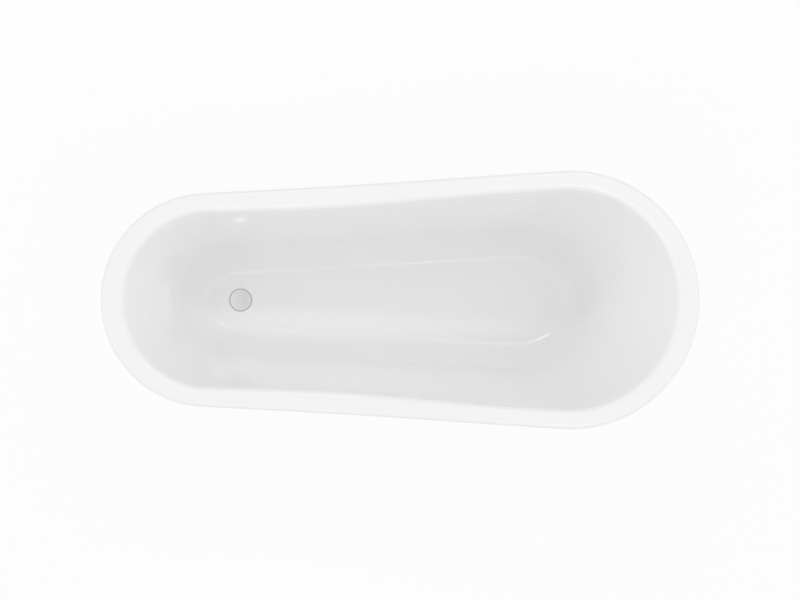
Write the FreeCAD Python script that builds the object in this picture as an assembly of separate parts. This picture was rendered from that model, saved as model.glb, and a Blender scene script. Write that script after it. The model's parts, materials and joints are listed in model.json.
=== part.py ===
"""Single-slipper clawfoot bathtub: a twin-walled acrylic tub on four claw feet, with a push-to-open waste.

Frame: millimetres, +Z up, the floor is Z = 0, and the origin lies under the middle of the rim's length.
+X points to the raised slipper back, -X to the foot end with the waste. XZ is a plane of symmetry.

Every plan outline of the tub is an "egg": two round ends of different radius joined by straight tangents.
Every wall of the tub is a bend from a flat base and then a straight lean up to the rim, swept round an egg.
"""

import FreeCAD
import Part
import math
import os

V = FreeCAD.Vector

# ---- rim -----------------------------------------------------------------------------------------
RIM_LENGTH = 1700.0  # over the outermost edges of the rim
RIM_FOOT_RADIUS = 309.0  # plan radius of the rim's round foot end
RIM_BACK_RADIUS = 362.0  # plan radius of the rim's round back end
RIM_FOOT_HEIGHT = 600.0  # top of the rim at the foot end, above the floor
RIM_BACK_HEIGHT = 785.0  # top of the rim at the slipper back
RIM_RISE_START = -430.0  # where the rim line starts to climb, along X
RIM_RISE_END = 720.0  # where it is level again
RIM_LIP = 38.0  # depth of the turned-down lip
RIM_OUTER_ROUND = 12.0  # rounding of the rim's outer top edge
RIM_INNER_ROUND = 22.0  # rounding where the rim rolls into the basin
DECK_FOOT = 62.0  # width of the rim at the foot end, from the outline to the basin's wall
DECK_BACK = 57.0
DECK_FOOT_SIDE = 54.0
DECK_BACK_SIDE = 50.0

# ---- basin, inside surface -----------------------------------------------------------------------
SHELL_WALL = 6.0  # acrylic with its glass-fibre backing
FLOOR_FALL_DEG = 0.45  # the floor falls towards the waste
FLOOR_FOOT_X = -567.0  # foot-end edge of the flat floor
FLOOR_BACK_X = 503.0  # back edge of the flat floor
FLOOR_FOOT_RADIUS = 84.0
FLOOR_BACK_RADIUS = 129.0
BASIN_END_BEND = 140.0  # bend between the floor and the end walls
BASIN_SIDE_BEND = 120.0  # bend between the floor and the side walls
BASIN_BEND_START_DEG = 17.0  # a bend leaves the floor at this angle, so a fine crease runs round the floor

# ---- outer skin, outside surface -----------------------------------------------------------------
SKIN_WALL = 5.0
SKIN_BOTTOM_HEIGHT = 110.0
SKIN_BOTTOM_MARGIN = 10.0  # the skin's flat bottom reaches this far past the basin's flat floor
SKIN_BEND = 150.0
SKIN_TOP_INSET = 14.0  # the skin meets the rim's underside this far inside the outline
SKIN_TOP_GAP = 1.0  # left for the sealant between the skin and the rim's underside
SKIN_ACCESS_RADIUS = 62.0  # hand hole under the waste

# ---- stiffening board under the basin floor ------------------------------------------------------
BOARD_THICKNESS = 18.0
BOARD_MARGIN = 12.0  # the board stops this far inside the flat floor's edge
BOARD_HOLE_GAP = 14.0  # between the board and the waste's boss

# ---- feet and their fixings ----------------------------------------------------------------------
FOOT_END_STATION = (-372.0, 14.0)  # X of the pair of feet, and each one's turn to the tub's end, in degrees
BACK_STATION = (392.0, 14.0)
FOOT_GASKET = 2.0  # rubber between a foot and the skin
SADDLE_THICKNESS = 8.0
SADDLE_WIDTH = 66.0
SADDLE_EDGE = 24.0  # from the studs to the saddle's inner end
SADDLE_KNEE_OVERLAP = 22.0  # the saddle runs into the knee, short of its middle by this much
STUD_RADIUS = 4.0
STUD_INSET = 30.0  # from the edge of the flat bottom inwards
STUD_SPACING = 36.0
STUD_CLEARANCE = 0.5
STUD_PROUD = 3.0  # thread showing past the nut
PLATE_SIZE = (64.0, 40.0)  # along the tub and across it
PLATE_THICKNESS = 4.0
BLOCK_MARGIN = 5.0  # the block is larger than the plate all round
BLOCK_HEIGHT = 26.0  # from the skin's inside to the stiffening board, at the waste
WASHER_RADIUS = 8.0
WASHER_THICKNESS = 1.6
NUT_ACROSS_FLATS = 13.0
NUT_HEIGHT = 6.5

# ---- leveller under each ball --------------------------------------------------------------------
LEVELLER_RADIUS = 5.0
LEVELLER_PITCH = 1.5
LEVELLER_RUNNING_CLEARANCE = 0.06
LEVELLER_AXIAL_CLEARANCE = 0.4
LEVELLER_TURNS = 8.0  # from screwed home to full travel
LEVELLER_ENGAGEMENT = 18.0  # screw still in the ball at full travel
LEVELLER_BORE_SPARE = 2.0  # the hole in the ball is deeper than the screw by this much
LEVELLER_HEAD_ACROSS_FLATS = 17.0
LEVELLER_HEAD_HEIGHT = 4.0
PAD_RADIUS = 16.0
PAD_HEIGHT = 5.0
PAD_SOCKET_FLOOR = 1.5  # rubber left under the screw's end
PAD_BEVEL = 1.0

# ---- one claw foot, in its own frame: u outwards from the edge of the skin's flat bottom, v along 
BALL_RADIUS = 32.0
BALL_FLAT_RADIUS = 18.0  # the ball is cut flat at the bottom, over the leveller
BALL_U = 140.0
LEG_HEIGHT = 215.0  # from the ball's middle to the top of the knee
LEG_HALF_DEPTH = 40.0  # in u, where the knee is deepest
LEG_HALF_WIDTH = 45.0  # in v, where the knee is widest
LEG_LEAN = 12.0  # the knee's top lies this far inwards of the ball
LEG_STATIONS = (  # shares of the height, the lean, the half depth and the half width
    (0.075, -0.08, 0.63, 0.56),
    (0.177, 0.08, 0.48, 0.41),
    (0.279, 0.17, 0.53, 0.45),
    (0.423, 0.17, 0.78, 0.69),
    (0.581, 0.17, 1.00, 0.96),
    (0.749, 0.33, 0.94, 1.00),
    (0.898, 0.67, 0.70, 0.73),
    (1.000, 1.00, 0.50, 0.31),
)
LEAF_ANGLES_DEG = (-46.0, 0.0, 46.0)  # ribs of the leaf carved on the knee, round the leg, 0 is outwards
LEAF_RIB_RADIUS = 7.0
LEAF_RIB_PROUD = 1.2  # a rib's middle line lies this far outside the leg
LEAF_STATIONS = (  # shares of the leg's height and of the rib's radius
    (0.93, 0.30),
    (0.85, 0.75),
    (0.75, 1.00),
    (0.64, 0.90),
    (0.53, 0.65),
    (0.43, 0.40),
    (0.34, 0.16),
)
TOE_ANGLES_DEG = (-54.0, 0.0, 54.0, 180.0)  # round the ball, 0 is outwards
TOE_RADIUS = 11.0  # at the middle knuckle
TOE_PROUD = 3.0  # a toe's middle line lies this far outside the ball
TOE_STATIONS = (  # elevation round the ball's middle in degrees, share of the toe's radius
    (62.0, 0.73),
    (44.0, 0.82),
    (28.0, 1.00),
    (12.0, 0.77),
    (-2.0, 0.86),
    (-16.0, 0.64),
    (-28.0, 0.36),
    (-38.0, 0.14),
)

# ---- waste ---------------------------------------------------------------------------------------
WASTE_X = -483.0
CAP_RADIUS = 32.5
CAP_EDGE = 3.0  # thickness of the cap at its rim
CAP_DOME = 1.6  # extra height at its middle
CAP_EDGE_BEVEL = 0.8
CAP_BOSS_RADIUS = 7.5
CAP_BOSS_DEPTH = 5.0
CAP_SEAL_THICKNESS = 2.0
CAP_SEAL_WIDTH = 4.5
CAP_SEAL_INSET = 1.5
CAP_SEAL_GROOVE = 0.6  # the seal sits this deep in the cap
CAP_SEAL_REST_GAP = 0.3  # the closed cap's seal stops this far above the flange
RECESS_GAP = 2.4  # between the cap's rim and the recess
RECESS_BEVEL = 2.2
FLANGE_THICKNESS = 3.0
FLANGE_CLEARANCE = 0.5
FLANGE_SEAL_THICKNESS = 1.5
WASTE_BODY_RADIUS = 24.0  # outside of its 1 1/2 inch thread
WASTE_BODY_WALL = 4.0
WASTE_BODY_LENGTH = 62.0  # below the flange
WASTE_HOLE_CLEARANCE = 0.6
WASTE_BOSS_RADIUS = 50.0  # the basin floor is thickened here
WASTE_BOSS_DEPTH = 7.0  # below the recess
BAR_WIDTH = 5.0
BAR_HEIGHT = 6.0
BAR_DROP = 8.0  # from the flange's top to the bars' top
HUB_RADIUS = 9.5
GASKET_THICKNESS = 4.0
GASKET_WIDTH = 14.0
SLIP_WASHER_THICKNESS = 1.5
LOCK_NUT_ACROSS_FLATS = 64.0
LOCK_NUT_HEIGHT = 11.0
CARTRIDGE_RADIUS = 6.5
CARTRIDGE_HEAD_ACROSS_FLATS = 15.0
CARTRIDGE_HEAD_HEIGHT = 2.5
CARTRIDGE_LENGTH = 28.0  # below the bars' top
CARTRIDGE_FLOOR = 3.0
PLUNGER_RADIUS = 4.0
PLUNGER_CLEARANCE = 0.06
PLUNGER_END_GAP = 0.5
PLUNGER_TOP_COVER = 1.2  # cap metal over the plunger's end
TAIL_RADIUS = 19.05  # 1 1/2 inch tubular tailpiece
TAIL_WALL = 1.5
TAIL_END_HEIGHT = 22.0  # above the floor
TAIL_FLANGE_RADIUS = 23.4  # the nut draws this flange up against the body's end
TAIL_FLANGE_THICKNESS = 2.0
TAIL_COLLAR_RADIUS = 20.6  # where the tube is swaged under its flange
TAIL_COLLAR_PROUD = 1.5  # shows under the nut
TAIL_WASHER_HEIGHT = 3.0
TAIL_NUT_ACROSS_FLATS = 60.0
TAIL_NUT_ENGAGEMENT = 10.0
TAIL_NUT_LIP = 3.0
TAIL_NUT_CLEARANCE = 0.4  # between the nut's lip and the collar
THREAD_CLEARANCE = 0.05  # between a nut and the thread it is drawn on

# ---- working values ------------------------------------------------------------------------------
HALF_LENGTH = RIM_LENGTH / 2.0
FLOOR_FALL = math.tan(math.radians(FLOOR_FALL_DEG))
FLOOR_HEIGHT = SKIN_BOTTOM_HEIGHT + SKIN_WALL + BLOCK_HEIGHT + BOARD_THICKNESS + SHELL_WALL  # at the waste
CUT_PAST = 1.0  # a cutter runs past what it cuts by this much
LEVELLER_TRAVEL = LEVELLER_TURNS * LEVELLER_PITCH
BALL_FLAT_Z = PAD_HEIGHT + LEVELLER_AXIAL_CLEARANCE + LEVELLER_HEAD_HEIGHT + LEVELLER_AXIAL_CLEARANCE
BALL_Z = BALL_FLAT_Z + math.sqrt(BALL_RADIUS**2 - BALL_FLAT_RADIUS**2)
RECESS_RADIUS = CAP_RADIUS + RECESS_GAP
CAP_UNDERSIDE_Z = FLOOR_HEIGHT - CAP_EDGE
CAP_SEAL_LOW_Z = CAP_UNDERSIDE_Z + CAP_SEAL_GROOVE - CAP_SEAL_THICKNESS
FLANGE_TOP_Z = CAP_SEAL_LOW_Z - CAP_SEAL_REST_GAP
RECESS_Z = FLANGE_TOP_Z - FLANGE_THICKNESS - FLANGE_SEAL_THICKNESS
BOSS_BOTTOM_Z = RECESS_Z - WASTE_BOSS_DEPTH
BODY_END_Z = FLANGE_TOP_Z - FLANGE_THICKNESS - WASTE_BODY_LENGTH
BARS_TOP_Z = FLANGE_TOP_Z - BAR_DROP
CARTRIDGE_END_Z = BARS_TOP_Z - CARTRIDGE_LENGTH
SKIN_INSIDE_Z = SKIN_BOTTOM_HEIGHT + SKIN_WALL
SADDLE_LOW_Z = SKIN_BOTTOM_HEIGHT - FOOT_GASKET - SADDLE_THICKNESS
NUT_LOW_Z = SADDLE_LOW_Z - WASHER_THICKNESS - NUT_HEIGHT


# ---- egg outlines --------------------------------------------------------------------------------
ARC_STEPS = 6  # stations along each rounded end of a half egg
LINE_STEPS = (1.0, 3.0)  # more stations on the straight side, in arc steps from each end
SIDE_SPAN = 6.0  # spline parameter given to the rest of the straight side, in arc steps


def station_parameters():
    """The spline parameter of every station from the foot tip to the back tip, the same for all eggs."""
    steps = [1.0] * ARC_STEPS + [LINE_STEPS[0], LINE_STEPS[1] - LINE_STEPS[0]]
    parameters = [0.0]
    for step in steps + [SIDE_SPAN] + steps[::-1]:
        parameters.append(parameters[-1] + step)
    return parameters


STATIONS = range(len(station_parameters()))


class Egg:
    """Two round ends of different radius, centred on the X axis, joined by straight tangents."""

    def __init__(self, foot_x, back_x, foot_radius, back_radius):
        self.foot_x, self.back_x = foot_x, back_x
        self.foot_radius, self.back_radius = foot_radius, back_radius
        self.foot_centre, self.back_centre = foot_x + foot_radius, back_x - back_radius
        self.turn = math.asin((back_radius - foot_radius) / (self.back_centre - self.foot_centre))

    def inset(self, distance):
        return Egg(
            self.foot_x + distance,
            self.back_x - distance,
            self.foot_radius - distance,
            self.back_radius - distance,
        )

    def tangent_points(self):
        """Where the +Y straight side meets the foot end and the back end."""
        out_x, out_y = -math.sin(self.turn), math.cos(self.turn)
        start = (self.foot_centre + self.foot_radius * out_x, self.foot_radius * out_y)
        end = (self.back_centre + self.back_radius * out_x, self.back_radius * out_y)
        return start, end

    def wire(self, height):
        """The exact closed outline, where height(x) gives each point's Z. The outline has to be flat."""

        def at(x, y):
            return V(x, y, height(x))

        (start_x, start_y), (end_x, end_y) = self.tangent_points()
        foot_low, foot_top = at(start_x, -start_y), at(start_x, start_y)
        back_top, back_low = at(end_x, end_y), at(end_x, -end_y)
        return Part.Wire(
            [
                Part.Arc(foot_low, at(self.foot_x, 0), foot_top).toShape(),
                Part.LineSegment(foot_top, back_top).toShape(),
                Part.Arc(back_top, at(self.back_x, 0), back_low).toShape(),
                Part.LineSegment(back_low, foot_low).toShape(),
            ]
        )

    def stations(self):
        """Plan points of the +Y half from the foot tip to the back tip."""
        start, end = self.tangent_points()
        along_x, along_y = math.cos(self.turn), math.sin(self.turn)
        foot_step = (math.pi / 2 - self.turn) / ARC_STEPS
        back_step = (math.pi / 2 + self.turn) / ARC_STEPS
        points = []
        for k in range(ARC_STEPS + 1):
            angle = math.pi - foot_step * k
            x = self.foot_centre + self.foot_radius * math.cos(angle)
            points.append((x, self.foot_radius * math.sin(angle)))
        for step in LINE_STEPS:
            run = step * foot_step * self.foot_radius
            points.append((start[0] + along_x * run, start[1] + along_y * run))
        for step in reversed(LINE_STEPS):
            run = step * back_step * self.back_radius
            points.append((end[0] - along_x * run, end[1] - along_y * run))
        for k in range(ARC_STEPS + 1):
            angle = math.pi / 2 + self.turn - back_step * k
            x = self.back_centre + self.back_radius * math.cos(angle)
            points.append((x, self.back_radius * math.sin(angle)))
        return points

    def side_at(self, x):
        """The Y of the +Y side at x, and the direction of its outward normal in degrees from +X."""
        start, end = self.tangent_points()
        if x < start[0]:
            rise = math.sqrt(self.foot_radius**2 - (x - self.foot_centre) ** 2)
            return rise, math.degrees(math.atan2(rise, x - self.foot_centre))
        if x > end[0]:
            rise = math.sqrt(self.back_radius**2 - (x - self.back_centre) ** 2)
            return rise, math.degrees(math.atan2(rise, x - self.back_centre))
        return start[1] + (x - start[0]) * math.tan(self.turn), 90.0 + math.degrees(self.turn)


# ---- surfaces from rows of stations --------------------------------------------------------------
def mirrored(shape):
    return shape.mirror(V(0, 0, 0), V(0, 1, 0))


def around(row):
    """A spline through one point of every station, square to the plane of symmetry at both tips."""
    start_speed, end_speed = (row[1] - row[0]).Length, (row[-1] - row[-2]).Length
    middle = len(row) - 2
    curve = Part.BSplineCurve()
    curve.interpolate(
        Points=row,
        Parameters=station_parameters(),
        Tangents=[V(0, start_speed, 0)] + [V()] * middle + [V(0, -end_speed, 0)],
        TangentFlags=[True] + [False] * middle + [True],
        Scale=False,
    )
    return curve


def surface_on(across, up_poles, up_knots, up_mults, up_degree):
    """A surface whose poles run across like the given curve and up as listed, column by column."""
    surface = Part.BSplineSurface()
    surface.buildFromPolesMultsKnots(
        up_poles,
        across.getMultiplicities(),
        up_mults,
        across.getKnots(),
        up_knots,
        across.isPeriodic(),
        False,
        across.Degree,
        up_degree,
    )
    return surface


def skin_through(curves):
    """One smooth surface through splines that share their parameters."""
    rows = [curve.getPoles() for curve in curves]
    lengths = [0.0]
    for low, high in zip(rows, rows[1:]):
        lengths.append(lengths[-1] + sum((b - a).Length for a, b in zip(low, high)) / len(low))
    columns = []
    for column in zip(*rows):
        spline = Part.BSplineCurve()
        spline.interpolate(Points=list(column), Parameters=lengths)
        columns.append(spline)
    up = columns[0]
    poles = [column.getPoles() for column in columns]
    return surface_on(curves[0], poles, up.getKnots(), up.getMultiplicities(), up.Degree)


def patch(*rows):
    """A surface between two rows of stations: straight across with two rows, a Bezier bend with four."""
    curves = [around(row) for row in rows]
    degree = len(rows) - 1
    poles = [list(column) for column in zip(*[curve.getPoles() for curve in curves])]
    return surface_on(curves[0], poles, [0.0, 1.0], [degree + 1, degree + 1], degree)


def solid_from(half_surfaces, flat_rows):
    """The solid bounded by +Y surfaces and their mirror images, and by flat faces across mirrored rows."""
    faces = []
    for surface in half_surfaces:
        side = surface.toShape()
        faces += [side, mirrored(side)]
    for row in flat_rows:
        edge = around(row).toShape()
        faces.append(Part.Face(Part.Wire([edge, mirrored(edge)])))
    return sewn(faces)


def sewn(faces):
    shell = Part.Shell(faces)
    shell.sewShape()
    solid = Part.Solid(Part.Shell(shell.Faces))
    if solid.Volume < 0:
        solid.reverse()
    return solid


# ---- walls of the basin and of the skin ----------------------------------------------------------
BEND_STEPS = 5  # rows up a bend
BEND_STEPS_END_DEG = 78.0
LEAN_SHARES = (0.12, 0.34, 0.64)  # rows up the straight part, before its top


class Wall:
    """A bend from a flat base, then a straight lean that has run outwards by top_run at top_z."""

    def __init__(self, base_z, bend, start_deg, top_run, top_z):
        start = math.radians(start_deg)
        self.bend = bend
        self.middle_u = -bend * math.sin(start)
        self.middle_z = base_z + bend * math.cos(start)
        across, up = top_run - self.middle_u, top_z - self.middle_z
        self.lean = math.acos(bend / math.hypot(across, up)) - math.atan2(up, across)

    def run(self, z, offset):
        """How far outwards of the base the wall is at height z, moved out by offset along its normal."""
        radius = self.bend + offset
        bend_end_z = self.middle_z - radius * math.sin(self.lean)
        if z <= bend_end_z:
            return self.middle_u + math.sqrt(max(0.0, radius**2 - (self.middle_z - z) ** 2))
        return self.middle_u + radius * math.cos(self.lean) + (z - bend_end_z) * math.tan(self.lean)


class Tub:
    """A round-ended vessel: an egg-shaped flat base whose walls bend up and lean out to an egg-shaped top."""

    def __init__(self, base_z, base, top, foot_top_z, back_top_z, end_bend, side_bend, start_deg, fall):
        self.base_z, self.base, self.fall = base_z, base, fall
        self.start_deg, self.end_bend = start_deg, end_bend
        self.foot = Wall(base_z, end_bend, start_deg, base.foot_x - top.foot_x, foot_top_z)
        self.back = Wall(base_z, end_bend, start_deg, top.back_x - base.back_x, back_top_z)
        self.foot_side = Wall(base_z, side_bend, start_deg, top.foot_radius - base.foot_radius, foot_top_z)
        self.back_side = Wall(base_z, side_bend, start_deg, top.back_radius - base.back_radius, back_top_z)

    def egg(self, z, offset):
        return Egg(
            self.base.foot_x - self.foot.run(z, offset),
            self.base.back_x + self.back.run(z, offset),
            self.base.foot_radius + self.foot_side.run(z, offset),
            self.base.back_radius + self.back_side.run(z, offset),
        )

    def point(self, station, z, offset):
        x, y = self.egg(z, offset).stations()[station]
        return V(x, y, z)

    def point_under(self, station, height, offset):
        """The wall's point at a station where it meets the surface z = height(x)."""
        z = height(0.0)
        for _ in range(6):
            z = height(self.point(station, z, offset).x)
        return self.point(station, z, offset)

    def rows(self, offset, top_row):
        """Rows of stations up the wall: close together up the bend, then few up the lean to the given top."""
        middle_z = self.base_z + self.end_bend * math.cos(math.radians(self.start_deg))
        radius = self.end_bend + offset
        first = math.acos(min(1.0, (middle_z - self.base_z + offset) / radius))
        last = math.radians(BEND_STEPS_END_DEG)
        rows = []
        for n in range(BEND_STEPS + 1):
            z = middle_z - radius * math.cos(first + (last - first) * n / BEND_STEPS)
            tilt = self.fall * (1.0 - n / BEND_STEPS)
            plan = self.egg(z, offset).stations()
            rows.append([V(x, y, z + tilt * (x - WASTE_X)) for x, y in plan])
        for share in LEAN_SHARES:
            heights = [z + (top_row[k].z - z) * share for k in STATIONS]
            rows.append([self.point(k, heights[k], offset) for k in STATIONS])
        return rows + [top_row]


# ---- small helpers -------------------------------------------------------------------------------
def cylinder(radius, low_z, high_z, x=0.0, y=0.0):
    return Part.makeCylinder(radius, high_z - low_z, V(x, y, low_z))


def ring(outer_radius, inner_radius, low_z, high_z, x=0.0, y=0.0):
    return cylinder(outer_radius, low_z, high_z, x, y).cut(cylinder(inner_radius, low_z, high_z, x, y))


def hexagon(across_flats, low_z, high_z, x=0.0, y=0.0):
    radius = across_flats / math.sqrt(3.0)
    corners = []
    for k in range(7):
        angle = math.radians(60.0 * k)
        corners.append(V(x + radius * math.cos(angle), y + radius * math.sin(angle), low_z))
    return Part.Face(Part.makePolygon(corners)).extrude(V(0, 0, high_z - low_z))


def block(low, high):
    return Part.makeBox(high[0] - low[0], high[1] - low[1], high[2] - low[2], V(*low))


def floor_plane(drop):
    """The height function of the basin floor's plane, lowered by drop."""
    return lambda x: FLOOR_HEIGHT - drop + FLOOR_FALL * (x - WASTE_X)


def save(name, shape):
    shape.exportStep("parts/" + name + ".step")


# ---- tub -----------------------------------------------------------------------------------------
RIM = Egg(-HALF_LENGTH, HALF_LENGTH, RIM_FOOT_RADIUS, RIM_BACK_RADIUS)
FLOOR = Egg(FLOOR_FOOT_X, FLOOR_BACK_X, FLOOR_FOOT_RADIUS, FLOOR_BACK_RADIUS)
BASIN_TOP = Egg(
    -HALF_LENGTH + DECK_FOOT,
    HALF_LENGTH - DECK_BACK,
    RIM_FOOT_RADIUS - DECK_FOOT_SIDE,
    RIM_BACK_RADIUS - DECK_BACK_SIDE,
)
BASIN = Tub(
    FLOOR_HEIGHT,
    FLOOR,
    BASIN_TOP,
    RIM_FOOT_HEIGHT,
    RIM_BACK_HEIGHT,
    BASIN_END_BEND,
    BASIN_SIDE_BEND,
    BASIN_BEND_START_DEG,
    FLOOR_FALL,
)
SKIN = Tub(
    SKIN_BOTTOM_HEIGHT,
    FLOOR.inset(-SKIN_BOTTOM_MARGIN),
    RIM.inset(SKIN_TOP_INSET),
    RIM_FOOT_HEIGHT - SHELL_WALL,
    RIM_BACK_HEIGHT - SHELL_WALL,
    SKIN_BEND,
    SKIN_BEND,
    0.0,
    0.0,
)


def rim_height(x):
    """Height of the rim's top: level, then a smooth climb, then level again."""
    share = min(1.0, max(0.0, (x - RIM_RISE_START) / (RIM_RISE_END - RIM_RISE_START)))
    climb = share**3 * (10.0 - 15.0 * share + 6.0 * share**2)
    return RIM_FOOT_HEIGHT + (RIM_BACK_HEIGHT - RIM_FOOT_HEIGHT) * climb


def rounded_corner(corner, first, second, radius):
    """Four points of each face of a wall bent round a corner, from the first direction to the second."""
    opening = first.getAngle(second)
    reach = radius / math.tan(opening / 2.0)
    into_first = (second - first * first.dot(second)).normalize()
    into_second = (first - second * first.dot(second)).normalize()
    faces = []
    for wall in (0.0, SHELL_WALL):
        handle = 4.0 / 3.0 * math.tan((math.pi - opening) / 4.0) * (radius - wall)
        start = corner + first * reach + into_first * wall
        end = corner + second * reach + into_second * wall
        faces.append([start, start - first * handle, end - second * handle, end])
    return faces


def rim_profile(station):
    """The rim's cross-section at a station: its inner roll, outer round and lip, each with both faces."""
    wall_top = BASIN.point_under(station, rim_height, 0.0)
    x, y = RIM.stations()[station]
    edge = V(x, y, rim_height(x))
    down_wall = (BASIN.point(station, wall_top.z - RIM_INNER_ROUND, 0.0) - wall_top).normalize()
    outwards = (edge - wall_top).normalize()
    roll = rounded_corner(wall_top, down_wall, outwards, RIM_INNER_ROUND)
    outer = rounded_corner(edge, outwards * -1.0, V(0, 0, -1), RIM_OUTER_ROUND)
    inwards = V(-outwards.x, -outwards.y, 0).normalize()
    lip_end = edge - V(0, 0, RIM_LIP)
    return roll, outer, (lip_end, lip_end + inwards * SHELL_WALL)


def make_inner_basin():
    """The one-piece acrylic basin: a wall from the floor up, over the rolled rim and down the lip."""
    profiles = [rim_profile(k) for k in STATIONS]

    def row(part, face, point):
        return [profile[part][face][point] for profile in profiles]

    surfaces, bottoms = [], []
    for face, offset in ((0, 0.0), (1, SHELL_WALL)):
        wall = BASIN.rows(offset, row(0, face, 0))
        roll = [row(0, face, point) for point in range(4)]
        outer = [row(1, face, point) for point in range(4)]
        lip_end = [profile[2][face] for profile in profiles]
        surfaces.append(skin_through([around(line) for line in wall]))
        surfaces += [patch(*roll), patch(roll[-1], outer[0]), patch(*outer), patch(outer[-1], lip_end)]
        bottoms.append(wall[0])
    surfaces.append(patch(*[[profile[2][face] for profile in profiles] for face in (0, 1)]))
    shell = solid_from(surfaces, bottoms)

    boss = cylinder(WASTE_BOSS_RADIUS, BOSS_BOTTOM_Z, FLOOR_HEIGHT - SHELL_WALL / 2.0, WASTE_X)
    recess = cylinder(RECESS_RADIUS, RECESS_Z, FLOOR_HEIGHT + RECESS_BEVEL, WASTE_X)
    bevel_low = V(WASTE_X, 0, FLOOR_HEIGHT - RECESS_BEVEL)
    bevel = Part.makeCone(RECESS_RADIUS, RECESS_RADIUS + 2.0 * RECESS_BEVEL, 2.0 * RECESS_BEVEL, bevel_low)
    hole_radius = WASTE_BODY_RADIUS + WASTE_HOLE_CLEARANCE
    hole = cylinder(hole_radius, BOSS_BOTTOM_Z - CUT_PAST, FLOOR_HEIGHT, WASTE_X)
    return shell.fuse(boss).cut(recess).cut(bevel).cut(hole)


def skin_rows(offset):
    """Rows of stations up the skin to its top edge under the rim, moved out by offset."""

    def top_height(x):
        return rim_height(x) - SHELL_WALL - SKIN_TOP_GAP

    return SKIN.rows(offset, [SKIN.point_under(k, top_height, offset) for k in STATIONS])


def inside_skin(offset):
    """All that lies inside the skin's outside moved out by offset, closed off at the height of the rim."""
    rows = skin_rows(offset)
    lid_z = max(RIM_FOOT_HEIGHT, RIM_BACK_HEIGHT)
    lid = [V(point.x, point.y, lid_z) for point in rows[-1]]
    wall = skin_through([around(row) for row in rows])
    return solid_from([wall, patch(rows[-1], lid)], [rows[0], lid])


def make_outer_skin(stud_holes):
    """The outer skin, open at the top, with a hand hole under the waste and holes for the feet's studs."""
    walls = [skin_rows(0.0), skin_rows(-SKIN_WALL)]
    surfaces = [skin_through([around(row) for row in rows]) for rows in walls]
    surfaces.append(patch(walls[0][-1], walls[1][-1]))
    skin = solid_from(surfaces, [walls[0][0], walls[1][0]])
    access = cylinder(SKIN_ACCESS_RADIUS, SKIN_BOTTOM_HEIGHT - CUT_PAST, SKIN_INSIDE_Z + CUT_PAST, WASTE_X)
    return skin.cut(access).cut(stud_holes)


def make_base_board():
    """The stiffening board laminated under the basin floor."""
    outline = FLOOR.inset(BOARD_MARGIN).wire(floor_plane(SHELL_WALL))
    board = Part.Face(outline).extrude(V(0, 0, -BOARD_THICKNESS))
    hole_radius = WASTE_BOSS_RADIUS + BOARD_HOLE_GAP
    return board.cut(cylinder(hole_radius, SKIN_INSIDE_Z, FLOOR_HEIGHT, WASTE_X))


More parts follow.
